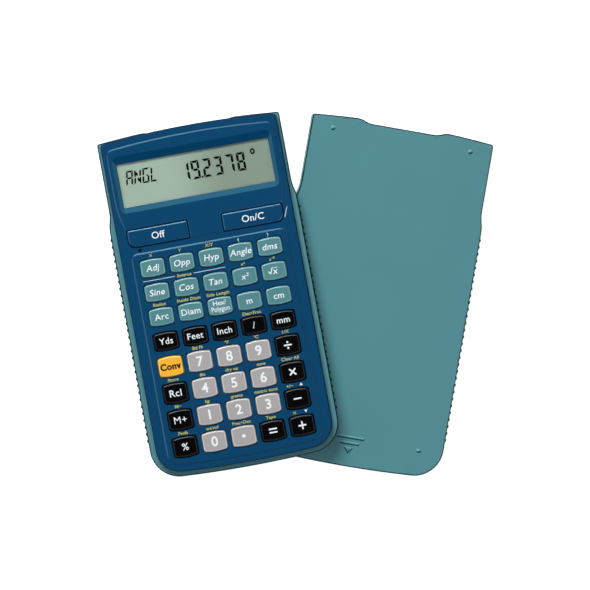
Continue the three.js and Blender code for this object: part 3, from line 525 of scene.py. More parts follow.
def bowed_plan(half, top, top_drop, top_radius, bottom, bottom_drop, bottom_radius):
    """Plan with bowed ends and straight sides."""
    points = [(0, top)]
    bow(points, top, top_drop, half, half - top_radius)
    bend(points, (half, top - top_drop), (half, top - top_drop - top_radius), steps=CORNER_STEPS)
    lower_corner(points, half, bottom_radius, bottom, bottom_drop)
    bow(points, bottom, -bottom_drop, half, 0)
    return mirrored(points)


def front_plan():
    top = HALF_LENGTH + TOP_BOW * (NOTCH_HALF / SHOULDER_HALF) ** 2 - FRONT_TOP_INSET
    bottom = -HALF_LENGTH + FRONT_BOTTOM_INSET
    return bowed_plan(FRONT_HALF, top, TOP_BOW, FRONT_TOP_RADIUS, bottom, BOTTOM_BOW, FRONT_BOTTOM_RADIUS)


def cavity_plan():
    """Plan of the hollow inside both housings."""
    top = down(TOP_WALL)
    bottom = -HALF_LENGTH + FRONT_BOTTOM_INSET + SKIRT_WALL
    return bowed_plan(
        FRONT_HALF - SKIRT_WALL, top, TOP_BOW, CAVITY_TOP_RADIUS, bottom, BOTTOM_BOW, CAVITY_BOTTOM_RADIUS,
    )


def arc(x, y, radius, start, turn, steps, first=0):
    """Points of an arc that turns clockwise from its start angle."""
    angles = [start - turn * step / steps for step in range(first, steps + 1)]
    return [(x + radius * cos(angle), y + radius * sin(angle)) for angle in angles]


def rounded_box(left, right, bottom, top, radius, steps=CORNER_STEPS):
    corners = [
        (right - radius, top - radius),
        (right - radius, bottom + radius),
        (left + radius, bottom + radius),
        (left + radius, top - radius),
    ]
    points = []
    for corner, (x, y) in enumerate(corners):
        points += arc(x, y, radius, pi / 2 * (1 - corner), pi / 2, steps)
    return points


def circle(x, y, radius, steps=ROUND_STEPS):
    return arc(x, y, radius, 0, pi * 2, steps)[:-1]


def key_plan(x, y, half_width, half_height):
    """Barrel-shaped key outline with round corners."""
    corner_x = half_width - KEY_CORNER
    corner_y = half_height - KEY_BOW - KEY_CORNER
    points = [(0, half_height)]
    bow(points, half_height, KEY_BOW, corner_x, corner_x, steps=CORNER_STEPS)
    points += arc(corner_x, corner_y, KEY_CORNER, pi / 2, pi / 2, CORNER_STEPS, first=1)
    points += [(px, -py) for px, py in reversed(points[1:])] + [(0, -half_height)]
    return [(x + px, y + py) for px, py in mirrored(points)]


def wide_key_plan(grow=0.0):
    """Right wide key, with a large outer lower corner."""
    inner, outer = WIDE_INNER - grow, WIDE_OUTER + grow
    bottom, top = WIDE_BOTTOM - grow, WIDE_TOP + grow
    radius = WIDE_KEY_RADIUS
    points = [(inner + radius, top), (outer - radius, top)]
    bend(points, (outer, top), (outer, top - radius), steps=EDGE_STEPS)
    points.append((outer, bottom + WIDE_KEY_OUTER_RADIUS))
    bend(points, (outer, bottom), (outer - WIDE_KEY_OUTER_RADIUS, bottom))
    points.append((inner + radius, bottom))
    bend(points, (inner, bottom), (inner, bottom + radius), steps=EDGE_STEPS)
    points.append((inner, top - radius))
    bend(points, (inner, top), (inner + radius, top), steps=EDGE_STEPS)
    return points[:-1]


def on_side(outline, side):
    """The outline, or its mirror image for the left side."""
    return outline if side > 0 else [(-x, y) for x, y in reversed(outline)]


def grown(outline, distance):
    """The outline moved outwards by a distance."""
    if not distance:
        return outline
    count = len(outline)
    area = sum(outline[i - 1][0] * outline[i][1] - outline[i][0] * outline[i - 1][1] for i in range(count))
    side = 1 if area > 0 else -1
    normals = []
    for i in range(count):
        edge = Vector(outline[i]) - Vector(outline[i - 1])
        normals.append(Vector((edge.y, -edge.x)).normalized() * side)
    moved = []
    for i in range(count):
        before = normals[i]
        after = normals[(i + 1) % count]
        reach = distance / max(1 + before.dot(after), SHARP_CORNER)
        moved.append(tuple(Vector(outline[i]) + (before + after) * reach))
    return moved


# Solids


def new_object(name, data):
    thing = bpy.data.objects.new(name, data)
    bpy.context.scene.collection.objects.link(thing)
    return thing


def new_solid(shape):
    """The object that a bmesh describes."""
    mesh = bpy.data.meshes.new("solid")
    shape.to_mesh(mesh)
    shape.free()
    return new_object("solid", mesh)


def evaluated(thing):
    """An object's mesh as it looks with its modifiers."""
    bpy.context.view_layer.update()
    return bpy.data.meshes.new_from_object(thing.evaluated_get(bpy.context.evaluated_depsgraph_get()))


def loft(rings):
    """Closed solid through rings of equally many points, each an outline and its height."""
    shape = bmesh.new()
    loops = [[shape.verts.new((x, y, height)) for x, y in outline] for outline, height in rings]
    count = len(loops[0])
    for lower, upper in zip(loops, loops[1:]):
        for i in range(count):
            shape.faces.new((lower[i - 1], lower[i], upper[i], upper[i - 1]))
    shape.faces.new(reversed(loops[0]))
    shape.faces.new(loops[-1])
    bmesh.ops.recalc_face_normals(shape, faces=shape.faces)
    return new_solid(shape)


def prism(outline, bottom, top):
    return loft([(outline, bottom), (outline, top)])


def box(x0, x1, y0, y1, z0, z1):
    return prism([(x0, y0), (x0, y1), (x1, y1), (x1, y0)], z0, z1)


def edge_rings(outline, top, radius, steps=EDGE_STEPS, side=-1):
    """Rings of an upper edge, from the side up to the top: rounded inwards, or outwards by a side of 1."""
    rings = []
    for step in range(steps + 1):
        angle = pi / 2 * step / steps
        ring = grown(outline, side * radius * (1 - cos(angle)))
        rings.append((ring, top - radius + radius * sin(angle)))
    return rings


def lip_cutter(outline, top, radius=HOLE_LIP):
    """Cutter of a hole through the face plate whose upper edge is rounded."""
    lip = edge_rings(outline, top, radius, EDGE_STEPS - 1, side=1)
    return loft([(outline, PLATE_BOTTOM - OVERRUN), *lip, (grown(outline, radius), top + OVERRUN)])


def turned(profile, x, y):
    """Round solid on an upright axis, from its [radius, height] profile between two points on the axis."""
    shape = bmesh.new()
    loops = []
    for radius, height in profile:
        ring = circle(x, y, radius) if radius else [(x, y)]
        loops.append([shape.verts.new((px, py, height)) for px, py in ring])
    for lower, upper in zip(loops, loops[1:]):
        for i in range(ROUND_STEPS):
            corners = [lower[i - 1], lower[i]] if len(lower) > 1 else [lower[0]]
            corners += [upper[i], upper[i - 1]] if len(upper) > 1 else [upper[0]]
            shape.faces.new(corners)
    bmesh.ops.recalc_face_normals(shape, faces=shape.faces)
    return new_solid(shape)


def rod(x, y, radius, bottom, top):
    return turned([(0, bottom), (radius, bottom), (radius, top), (0, top)], x, y)


def joined(things):
    """One object from several that don't touch each other."""
    shape = bmesh.new()
    for thing in things:
        shape.from_mesh(thing.data)
        bpy.data.objects.remove(thing)
    return new_solid(shape)


def combined(body, tool, operation):
    """The body with the tool added to it or cut out of it."""
    modifier = body.modifiers.new("combine", "BOOLEAN")
    modifier.object = tool
    modifier.operation = operation
    modifier.solver = "MANIFOLD"
    mesh = evaluated(body)
    body.modifiers.clear()
    body.data = mesh
    bpy.data.objects.remove(tool)
    return body


def halved(body):
    """Divides the faces along the middle, so that an opening across it is a notch in two faces."""
    shape = bmesh.new()
    shape.from_mesh(body.data)
    everything = [*shape.verts, *shape.edges, *shape.faces]
    bmesh.ops.bisect_plane(shape, geom=everything, plane_co=(0, 0, 0), plane_no=(1, 0, 0))
    shape.to_mesh(body.data)
    shape.free()
    return body


def added(body, *tools):
    return combined(body, joined(tools), "UNION")


def cut(body, *tools):
    return combined(body, joined(tools), "DIFFERENCE")


# Materials


def feed(tree, node, inputs):
    """Sets a node's inputs, each to a value or from the output that drives it."""
    for name, value in inputs.items():
        if isinstance(value, bpy.types.NodeSocket):
            tree.links.new(value, node.inputs[name])
        else:
            node.inputs[name].default_value = value


def new_node(tree, kind, inputs, output=0, **settings):
    """The output of a new node whose settings and inputs are given."""
    node = tree.nodes.new("ShaderNode" + kind)
    for name, value in settings.items():
        setattr(node, name, value)
    feed(tree, node, inputs)
    return node.outputs[output]


def node_material(name="finish"):
    """A new material with its nodes, its shader and the place in metres that patterns follow."""
    material = bpy.data.materials.new(name)
    material.use_nodes = True
    tree = material.node_tree
    return material, tree, tree.nodes["Principled BSDF"], new_node(tree, "TexCoord", {}, "Object")


def noise(tree, place, scale, detail=2):
    return new_node(tree, "TexNoise", {"Vector": place, "Scale": scale, "Detail": detail})


def ranged(tree, value, low, high):
    """The middle of a noise spread over a range."""
    near, far = NOISE_MIDDLE
    return new_node(tree, "MapRange", {
        "Value": value, "From Min": near, "From Max": far, "To Min": low, "To Max": high,
    })


def blended(tree, share, first, second):
    colours = {MIX_FIRST: (*first, 1), MIX_SECOND: (*second, 1)}
    return new_node(tree, "Mix", {"Factor": share, **colours}, MIX_RESULT, data_type="RGBA")


def bumped(tree, height, strength, depth):
    return new_node(tree, "Bump", {"Height": height, "Strength": strength, "Distance": depth})


def toned(colour, factor=1.0):
    """A colour from 0 to 255 as the light that it stands for by the sRGB curve, times a factor."""
    light = [((value / 255 + 0.055) / 1.055) ** 2.4 if value > 10 else value / 3294.6 for value in colour]
    return tuple(min(1.0, value * factor) for value in light)


def moulded(colour, roughness, grain=0.35, shine=0.5, tint=(1, 1, 1), ior=1.5, spread=0.06):
    """Moulded plastic: slow drift of tone, uneven gloss and a fine spark-eroded grain."""
    material, tree, shader, place = node_material()
    drifting = ranged(tree, noise(tree, place, TONE_WAVES, 3), 0, 1)
    feed(tree, shader, {
        "Base Color": blended(tree, drifting, toned(colour, 1 - TONE_DRIFT), toned(colour, 1 + TONE_DRIFT)),
        "Roughness": ranged(tree, noise(tree, place, GLOSS_WAVES), roughness - spread, roughness + spread),
        "Specular IOR Level": shine,
        "Specular Tint": (*tint, 1),
        "IOR": ior,
        "Normal": bumped(tree, noise(tree, place, GRAIN_WAVES, 3), grain, 0.00004),
    })
    return material


def printed(colour, roughness=0.5, shine=0.5):
    """Screen-printed ink: slightly uneven cover over the grain of what it lies on."""
    material, tree, shader, place = node_material()
    cover = ranged(tree, noise(tree, place, INK_WAVES), 0, 1)
    feed(tree, shader, {
        "Base Color": blended(tree, cover, toned(colour, INK_THIN), toned(colour)),
        "Roughness": roughness,
        "Specular IOR Level": shine,
        "Normal": bumped(tree, noise(tree, place, INK_GRAIN_WAVES), 0.2, 0.00002),
    })
    return material


def metal(colour, roughness):
    """Drawn or plated steel with fine lines."""
    material, tree, shader, place = node_material()
    stretched = new_node(tree, "Mapping", {"Vector": place, "Scale": STEEL_STRETCH})
    lines = noise(tree, stretched, STEEL_WAVES, 3)
    feed(tree, shader, {
        "Metallic": 1,
        "Base Color": blended(tree, lines, toned(colour, STEEL_DARK), toned(colour)),
        "Roughness": ranged(tree, lines, roughness - STEEL_SPREAD, roughness + STEEL_SPREAD),
        "Normal": bumped(tree, lines, 0.25, 0.00003),
    })
    return material


def display_glass():
    """Display glass, lighter on the left and darker on the right, changing softly across its middle, with a
    silky surface.
    """
    material, tree, shader, place = node_material()
    across = CALCULATOR.to_3x3().col[0].normalized()
    middle = CALCULATOR.translation.dot(across)
    fade = new_node(tree, "MapRange", {
        "Value": new_node(tree, "VectorMath", {0: place, 1: across}, "Value", operation="DOT_PRODUCT"),
        "From Min": middle - LCD_FADE * MM,
        "From Max": middle + LCD_FADE * MM,
    }, interpolation_type="SMOOTHSTEP")
    feed(tree, shader, {
        "Base Color": blended(tree, fade, toned((170, 186, 173)), toned((142, 156, 144))),
        "Roughness": ranged(tree, noise(tree, place, 900), 0.45, 0.55),
        "Specular IOR Level": 0.15,
        "Normal": bumped(tree, noise(tree, place, 6000), 0.1, 0.00001),
    })
    return material


def clear_sheet():
    """Thin clear window: what lies behind it shows, with a reflection that grows at low angles."""
    material, tree, shader, place = node_material()
    tree.nodes.remove(shader)
    through = new_node(tree, "BsdfTransparent", {"Color": (0.97, 0.985, 0.975, 1)})
    roughness = ranged(tree, noise(tree, place, 160), 0.28, 0.34)
    gloss = new_node(tree, "BsdfGlossy", {"Color": (1, 1, 1, 1), "Roughness": roughness})
    facing = new_node(tree, "LayerWeight", {"Blend": 0.04}, "Facing")
    surface = new_node(tree, "MixShader", {"Fac": facing, 1: through, 2: gloss})
    feed(tree, tree.nodes["Material Output"], {"Surface": surface})
    return material


def board_laminate():
    """Solder resist over woven glass, with the weave just showing."""
    material, tree, shader, place = node_material()
    weave = new_node(tree, "TexWave", {"Vector": place, "Scale": 900, "Distortion": 0.6}, "Fac")
    feed(tree, shader, {
        "Base Color": blended(tree, weave, toned((24, 82, 52)), toned((34, 104, 66))),
        "Roughness": 0.3,
        "Normal": bumped(tree, weave, 0.15, 0.00002),
    })
    return material


MATERIALS = {
    "teal_plastic": moulded((81, 140, 148), 0.55, shine=0.2),
    # Painted shade: near-black teal on the rounded rims and rib ends, darkening the outline
    "teal_plastic_edge": moulded((1, 26, 30), 0.5, shine=0.2, tint=(0.4, 0.9, 1.0)),
    # Painted light: paler teal on the slopes of the cover's pips and marks that face the light
    "teal_plastic_light": moulded((104, 164, 169), 0.4, shine=0.3),
    # Painted shade: darker teal on the slopes of the cover's pips and marks that face away from the light
    "teal_plastic_dark": moulded((30, 76, 82), 0.6, shine=0.1),
    "blue_plastic": moulded((1, 66, 105), 0.5, shine=0.06),
    "blue_plastic_edge": moulded(
        (1, 62, 100), 0.3, grain=0.02, shine=1.0, tint=(0.4, 0.76, 1.0), ior=1.8, spread=0.01,
    ),
    # Painted light: paler blue on the display recess's side and lower slopes
    "blue_plastic_light": moulded((37, 97, 125), 0.5, shine=0.15),
    # Painted shade: darker blue on the lips of the face's openings, its rounded outer edge and the wide keys'
    # steep sides
    "blue_plastic_dark": moulded((1, 40, 70), 0.55, shine=0.1),
    "teal_key": moulded((67, 129, 135), 0.45, grain=0.25),
    # Painted highlight: paler tone on the cap's rounded rim
    "teal_key_edge": moulded((112, 168, 174), 0.25, grain=0.1),
    "black_key": moulded((5, 5, 6), 0.45, grain=0.25, shine=0.02),
    # Painted highlight: paler tone on the cap's rounded rim
    "black_key_edge": moulded((26, 23, 25), 0.3, grain=0.1, shine=0.3),
    "grey_key": moulded((168, 164, 164), 0.45, grain=0.25),
    # Painted highlight: paler tone on the cap's rounded rim
    "grey_key_edge": moulded((206, 204, 206), 0.25, grain=0.1),
    "yellow_key": moulded((250, 178, 18), 0.42, grain=0.25),
    # Painted highlight: paler tone on the cap's rounded rim
    "yellow_key_edge": moulded((255, 204, 80), 0.25, grain=0.1),
    "clear_window": clear_sheet(),
    "lcd_glass": display_glass(),
    "black_rubber": moulded((30, 30, 32), 0.8, grain=0.5),
    "membrane_rubber": moulded((186, 190, 186), 0.7, grain=0.3),
    "board_laminate": board_laminate(),
    "cell_steel": metal((205, 207, 210), 0.28),
    "contact_steel": metal((196, 190, 170), 0.3),
    "screw_steel": metal((170, 172, 176), 0.35),
    "white_print": printed((243, 250, 255)),
    "yellow_print": printed((204, 198, 74)),
    "dark_print": printed((6, 6, 7), shine=0.05),
    "lcd_segment": printed((4, 8, 5), roughness=0.35, shine=0.05),
}
for slot_name, finish in MATERIALS.items():
    finish.name = slot_name.replace("_", " ")


# Finishing a piece


def softened(thing):
    """Smooth shading that keeps flat faces flat, with creases at corners and where the finish changes."""
    thing.data.polygons.foreach_set("use_smooth", [True] * len(thing.data.polygons))
    thing.data.set_sharp_from_angle(angle=radians(SHARP_ANGLE))
    shape = bmesh.new()
    shape.from_mesh(thing.data)
    for edge in shape.edges:
        if len({face.material_index for face in edge.link_faces}) > 1:
            edge.smooth = False
    shape.to_mesh(thing.data)
    shape.free()
    modifier = thing.modifiers.new("even faces", "WEIGHTED_NORMAL")
    modifier.keep_sharp = True
    modifier.weight = NORMAL_WEIGHT


def piece(name, thing, slot, replaces=(), edge=None, body="calculator_body", place=CALCULATOR):
    """Names a solid, dresses it and puts it on its body. The edge test numbers each face's finish: plain, an
    edge tone, painted light or painted shade.
    """
    thing.name = name
    thing.data.name = name
    thing.data.materials.clear()
    thing.data.materials.append(MATERIALS[slot])
    if edge:
        # Extra versions of the material where they exist: an edge tone, a paler one for painted light and a
        # darker one for painted shade
        for finish in ("_edge", "_light", "_dark"):
            if slot + finish in MATERIALS:
                thing.data.materials.append(MATERIALS[slot + finish])
        for polygon in thing.data.polygons:
            polygon.material_index = int(edge(polygon.center, polygon.normal))
    softened(thing)
    thing.data.transform(place)
    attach(thing, body)
    if replaces:
        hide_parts(*replaces)
    return thing


# The calculator's mouldings


def between(value, limits):
    return limits[0] < value < limits[1]


def rim_edge(top):
    """Test for the rounded rim at a height, and the upper ends of the ribs below it, which get painted shade.
    """
    heights = (top - RIM_DEPTH, top)
    return lambda centre, normal: between(normal.z, RIM_FACES) and between(centre.z, heights)


# Test for a key cap's rounded rim, which takes the paler edge tone as a painted highlight
def cap_edge(centre, normal):
    return between(normal.z, CAP_EDGE_FACES)


# Wide key caps: glossy upper bevel, painted shade on the steep sides
def wide_key_edge(centre, normal):
    if between(normal.z, WIDE_KEY_UPPER_FACES):
        return EDGE
    return DARK if between(normal.z, WIDE_KEY_LOWER_FACES) else 0


def cover_edge(centre, normal):
    """The rounded rim, with painted shade, and the slopes of the raised pips and marks: painted light on
    those that face towards the top end and a little left, painted shade on those that face the other way.
    """
    if centre.z < COVER_TOP + MARK_FOOT:
        return rim_edge(COVER_TOP)(centre, normal)
    towards_light = normal.y * MARK_LIGHT_Y + normal.x * MARK_LIGHT_X
    if normal.z > MARK_TOP_FACES or abs(towards_light) < MARK_PLAIN:
        return 0
    return LIGHT if towards_light > 0 else DARK


def face_edge(centre, normal):
    """Polished slopes of the panels, painted shade on the lips of the openings and on the rounded outer edge,
    and painted light on the recess's slopes.
    """
    side = OPENING_HALF + RECESS_SIDE + RECESS_LIP * 2
    ends = (OPENING_BOTTOM - RECESS_LOWER - RECESS_LIP * 2, OPENING_TOP + RECESS_UPPER + RECESS_LIP * 2)
    if abs(centre.x) < side and between(centre.y, ends):
        # The recess's slopes, except the upper one, get painted light
        slope = between(normal.z, RECESS_FACES) and centre.z > FACE - RECESS_DEPTH
        return LIGHT if slope and normal.y > RECESS_LIGHT_FROM else 0
    by_wide_key = between(centre.y, (WIDE_BOTTOM - GAP * 2, WIDE_TOP + GAP * 2))
    panel_faces = PANEL_FACES_BY_WIDE_KEY if by_wide_key else PANEL_FACES
    if centre.z > FACE - PANEL_FOOT and between(normal.z, panel_faces):
        return EDGE
    # Lips of the openings and the rounded outer edge get painted shade
    lip = between(normal.z, LIP_FACES) and centre.z > FACE - FRONT_EDGE
    return DARK if lip and not by_wide_key else 0


def body_rings(bottom, top, bottom_edge):
    """Rings of the shared body: plain at its edges, ribbed in between."""
    plain = body_plan()
    ribbed = body_plan(1.0)
    rings = []
    if bottom_edge:
        for outline, height in reversed(edge_rings(plain, 0, BODY_EDGE)):
            rings.append((outline, bottom - height))
    else:
        rings.append((plain, bottom))
        rings.append((plain, bottom + BODY_EDGE))
    rings.append((ribbed, bottom + BODY_EDGE + RIB_END_SLOPE))
    rings.append((ribbed, top - BODY_EDGE - RIB_END_SLOPE))
    return rings + edge_rings(plain, top, BODY_EDGE)


def screw_places():
    names = ["screw_" + height + side for height in ("upper_", "lower_") for side in ("left", "right")]
    return {name: middle_of(*measured(name)) for name in names}


SCREWS = screw_places()


def rear_housing():
    """Ribbed tray with screw bosses, board posts and the cell compartment."""
    body = loft(body_rings(0, REAR_TOP, True))
    body = cut(body, prism(cavity_plan(), BACK_WALL, REAR_TOP + OVERRUN))
    slot_half = DOOR_HIGH.x - DOOR_TONGUE + GAP
    block_end = DOOR_LOW.y - GAP
    root = BACK_WALL - GAP
    last_y = KEYS["key_0"][1]
    post_top = measured("circuit_board")[1].z - BOARD_THICKNESS - GAP
    posts = []
    for side in (-1, 1):
        left, right = sorted((side * CELL_BLOCK_INNER, side * (CELL_BLOCK_INNER + CELL_BLOCK_WIDTH)))
        posts.append(box(left, right, block_end, down(TOP_WALL) + GAP, root, LCD_LOW.z - GAP))
        for y in (LCD_LOW.y, (LCD_LOW.y + last_y) / 2, last_y):
            posts.append(rod(side * (FRONT_HALF - POST_INSET), y, POST_RADIUS, root, post_top))
    body = added(body, *posts)
    boss_top = BACK_WALL + REAR_BOSS_HEIGHT
    body = added(body, *[rod(x, y, REAR_BOSS_RADIUS, root, boss_top) for x, y in SCREWS.values()])
    cell_bottom = DOOR_HIGH.z + GAP
    cuts = [box(-slot_half, slot_half, block_end, HALF_LENGTH + OVERRUN, -OVERRUN, cell_bottom)]
    for x, y in SCREWS.values():
        cuts.append(turned([
            (0, -OVERRUN), (SCREW_HEAD_RADIUS + GAP, -OVERRUN), (SCREW_HEAD_RADIUS + GAP, SCREW_SINK),
            (SCREW_HOLE_RADIUS, SCREW_SINK), (SCREW_HOLE_RADIUS, boss_top + OVERRUN), (0, boss_top + OVERRUN),
        ], x, y))
    body = cut(body, *cuts)
    groove_half = slot_half + DOOR_TONGUE
    body = cut(body, box(-groove_half, groove_half, block_end, HALF_LENGTH + OVERRUN, DOOR_SKIN, cell_bottom))
    piece("rear_shell", body, "teal_plastic", ["rear_housing"], rim_edge(REAR_TOP))


def key_places():
    """Middle, half sizes and top of every grid key's cap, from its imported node."""
    places = {}
    for name in KEY_NAMES:
        low, high = measured(name)
        half_width = (high.x - low.x) / 2 - FLANGE_OVERLAP
        half_height = (high.y - low.y) / 2 - FLANGE_OVERLAP
        places[name] = (*middle_of(low, high), half_width, half_height, high.z)
    return places


KEYS = key_places()


def plateau(outline):
    """Raised panel on the face with sloped sides."""
    foot = grown(outline, PANEL_SLOPE / 2)
    top = grown(outline, -PANEL_SLOPE / 2)
    return loft([(foot, FACE - OVERRUN), (foot, FACE - GROOVE_DEPTH), (top, PANEL)])


def moat(outline):
    """Cutter that lowers the face round a panel's foot."""
    return prism(grown(outline, PANEL_SLOPE / 2 + PANEL_GROOVE), FACE - GROOVE_DEPTH, FACE + OVERRUN)


def display_panel_plan():
    """Panel round the display, whose sides curve in to the wide keys. They end at its lower edge."""
    half = FRONT_HALF - DISPLAY_PANEL_INSET
    top = down(DISPLAY_PANEL_TOP)
    points = [(0, top)]
    bow(points, top, TOP_BOW, half, half - DISPLAY_PANEL_RADIUS)
    bend(points, (half, top - TOP_BOW), (half, top - TOP_BOW - DISPLAY_PANEL_RADIUS), steps=CORNER_STEPS)
    points.append((half, OPENING_BOTTOM + DISPLAY_PANEL_BEND))
    bend(points, (half, OPENING_BOTTOM - DISPLAY_PANEL_WAIST), (WIDE_OUTER, WIDE_TOP))
    points.append((WIDE_OUTER, WIDE_BOTTOM + WIDE_KEY_OUTER_RADIUS))
    bend(points, (WIDE_OUTER, WIDE_BOTTOM), (WIDE_OUTER - WIDE_KEY_OUTER_RADIUS, WIDE_BOTTOM))
    points.append((0, WIDE_BOTTOM))
    return mirrored(points)


def keypad_panel_plan():
    half = FRONT_HALF - KEYPAD_PANEL_INSET
    top = KEYS["adjacent_key"][1] + KEYPAD_PANEL_ABOVE
    bottom = KEYS["key_0"][1] - KEYPAD_PANEL_BELOW
    return bowed_plan(half, top, 0, KEYPAD_PANEL_RADIUS, bottom, BOTTOM_BOW, KEYPAD_PANEL_LOWER_RADIUS)


def opening_plan(side, below, above, radius):
    """Plan of the display's opening, widened by a distance on each side."""
    half = OPENING_HALF + side
    return rounded_box(-half, half, OPENING_BOTTOM - below, OPENING_TOP + above, radius)


def recess_cutter():
    """Sloped pocket from the face down to the display's opening, and the opening itself."""
    opening = opening_plan(0, 0, 0, OPENING_RADIUS)
    rim = opening_plan(RECESS_SIDE, RECESS_LOWER, RECESS_UPPER, RECESS_RADIUS)
    lip = grown(rim, RECESS_LIP)
    floor = FACE - RECESS_DEPTH
    knee_out, knee_down = RECESS_KNEE
    crease_out, crease_down = RECESS_CREASE
    return loft([
        (opening, WINDOW_LOW.z - OVERRUN),
        (opening, floor),
        (partway(opening, rim, knee_out), PANEL - (PANEL - floor) * knee_down),
        (grown(rim, crease_out), PANEL - crease_down),
        (lip, PANEL),
        (lip, PANEL + OVERRUN),
    ])


def slash():
    """Small raised slash on the face beside the right wide key."""
    top = Vector((SLASH_TOP[0], WIDE_TOP - SLASH_TOP[1]))
    foot = Vector((SLASH_FOOT[0], WIDE_TOP - SLASH_FOOT[1]))
    along = (foot - top).normalized()
    angle = atan2(along.y, along.x)
    points = []
    for end, start in ((foot, angle + pi / 2), (top, angle - pi / 2)):
        points += arc(end.x, end.y, SLASH_WIDTH / 2, start, pi, CORNER_STEPS)
    rings = [(grown(points, -SLASH_WIDTH * inset), FACE + SLASH_RISE * rise) for inset, rise in SLASH_PROFILE]
    return loft([(points, FACE - OVERRUN), *rings])


def front_housing():
    """Face plate with its panels, recess and openings over a skirt and screw bosses."""
    outline = front_plan()
    body = loft([(outline, FRONT_BASE)] + edge_rings(outline, FACE, FRONT_EDGE))
    body = cut(body, prism(cavity_plan(), FRONT_BASE - OVERRUN, PLATE_BOTTOM))
    half = OPENING_HALF + LCD_BORDER
    low, high = OPENING_BOTTOM - LCD_BORDER, OPENING_TOP + LCD_BORDER
    ring = box(-half, half, low, high, WINDOW_LOW.z, PLATE_BOTTOM + GAP)
    boss_bottom = BACK_WALL + REAR_BOSS_HEIGHT + GAP
    bosses = [rod(x, y, FRONT_BOSS_RADIUS, boss_bottom, PLATE_BOTTOM + GAP) for x, y in SCREWS.values()]
    body = added(body, ring, *bosses)
    panels = [display_panel_plan(), keypad_panel_plan()]
    body = cut(body, *[moat(plan) for plan in panels])
    body = added(body, *[plateau(plan) for plan in panels], slash())
    cuts = [recess_cutter()]
    for x, y, half_width, half_height, _ in KEYS.values():
        cuts.append(lip_cutter(key_plan(x, y, half_width + GAP, half_height + GAP), PANEL))
    for side in (-1, 1):
        cuts.append(lip_cutter(on_side(wide_key_plan(GAP), side), PANEL, WIDE_HOLE_LIP))
    pinhole_y = WIDE_BOTTOM - PINHOLE_BELOW_WIDE_KEY
    cuts.append(lip_cutter(circle(PINHOLE_INSET - FRONT_HALF, pinhole_y, PINHOLE_RADIUS), FACE))
    for x, y in SCREWS.values():
        cuts.append(rod(x, y, SCREW_HOLE_RADIUS, boss_bottom - OVERRUN, PLATE_BOTTOM - PILOT_STOP))
    body = cut(body, *cuts)
    piece("front_shell", body, "blue_plastic", ["front_housing"], face_edge)


def key_solid(outline, edge):
    """Cap, whose upper edge comes as rings, over the flange that keeps it under the face."""
    flange = grown(outline, FLANGE_OVERLAP)
    flange_top = PLATE_BOTTOM - GAP
    return loft([(flange, flange_top - FLANGE_THICKNESS), (flange, flange_top), (outline, flange_top), *edge])


def key_slot(name):
    if name in TEAL_KEYS:
        return "teal_key"
    if name in GREY_KEYS:
        return "grey_key"
    return "yellow_key" if name == "convert_key" else "black_key"


def keys():
    for name, (x, y, half_width, half_height, top) in KEYS.items():
        outline = key_plan(x, y, half_width, half_height)
        cap = key_solid(outline, edge_rings(outline, top, KEY_EDGE))
        piece(name + "_cap", cap, key_slot(name), [name], cap_edge, name)
    for name, _, side in WIDE_KEYS:
        outline = on_side(wide_key_plan(WIDE_KEY_SWELL), side)
        bevel = [(grown(outline, -inset), WIDE_HIGH.z - drop) for inset, drop in WIDE_KEY_BEVEL]
        cap = key_solid(outline, bevel)
        piece(name + "_cap", cap, "blue_plastic", [name], wide_key_edge, name)


def battery_door():
    """Sliding door: rounded plate, tongues in the housing's grooves, grip grooves and an arrow."""
    half = DOOR_HIGH.x - DOOR_TONGUE
    outline = rounded_box(-half, half, DOOR_LOW.y, DOOR_HIGH.y, DOOR_EDGE, EDGE_STEPS)
    lower = [(ring, -height) for ring, height in reversed(edge_rings(outline, 0, DOOR_EDGE))]
    body = loft([*lower, (outline, DOOR_HIGH.z)])
    tongue = box(DOOR_LOW.x, DOOR_HIGH.x, DOOR_LOW.y, DOOR_HIGH.y, DOOR_SKIN + GAP, DOOR_HIGH.z)
    body = added(body, tongue)
    cuts = []
    reach = DOOR_GRIP_LENGTH / 2
    for index in range(DOOR_GRIP_COUNT):
        y = DOOR_LOW.y + DOOR_GRIP_FROM_END + index * DOOR_GRIP_PITCH
        groove = rounded_box(-reach, reach, y, y + DOOR_GRIP_WIDTH, DOOR_GRIP_RADIUS)
        cuts.append(prism(groove, -OVERRUN, DOOR_GRIP_DEPTH))
    arrow_y = y + DOOR_GRIP_WIDTH + DOOR_ARROW_FROM_GRIP
    arrow = [(0, arrow_y + DOOR_ARROW_SIZE), (DOOR_ARROW_SIZE, arrow_y), (-DOOR_ARROW_SIZE, arrow_y)]
    cuts.append(prism(arrow, -OVERRUN, DOOR_GRIP_DEPTH / 2))
    body = cut(halved(body), *cuts)
    piece("battery_door_plate", body, "teal_plastic", ["battery_door"], body="battery_door")


def screws():
    """Pan-head screws with a cross recess."""
    for name, (x, y) in SCREWS.items():
        low, high = measured(name)
        head_radius = (high.x - low.x) / 2
        bearing = SCREW_SINK - GAP
        tip_radius, tip_length = SCREW_TIP
        body = turned([
            (0, low.z), *[(head_radius * share, low.z + rise) for share, rise in SCREW_HEAD_PROFILE],
            (head_radius, bearing), (SCREW_RADIUS, bearing), (SCREW_RADIUS, high.z - tip_length),
            (tip_radius, high.z), (0, high.z),
        ], x, y)
        long = SCREW_CROSS_LENGTH / 2
        wide = SCREW_CROSS_WIDTH / 2
        bars = [
            box(x - across, x + across, y - along, y + along, low.z - OVERRUN, low.z + SCREW_CROSS_DEPTH)
            for across, along in ((long, wide), (wide, long))
        ]
        cross = added(*bars)
        piece(name + "_body", cut(body, cross), "screw_steel", [name])


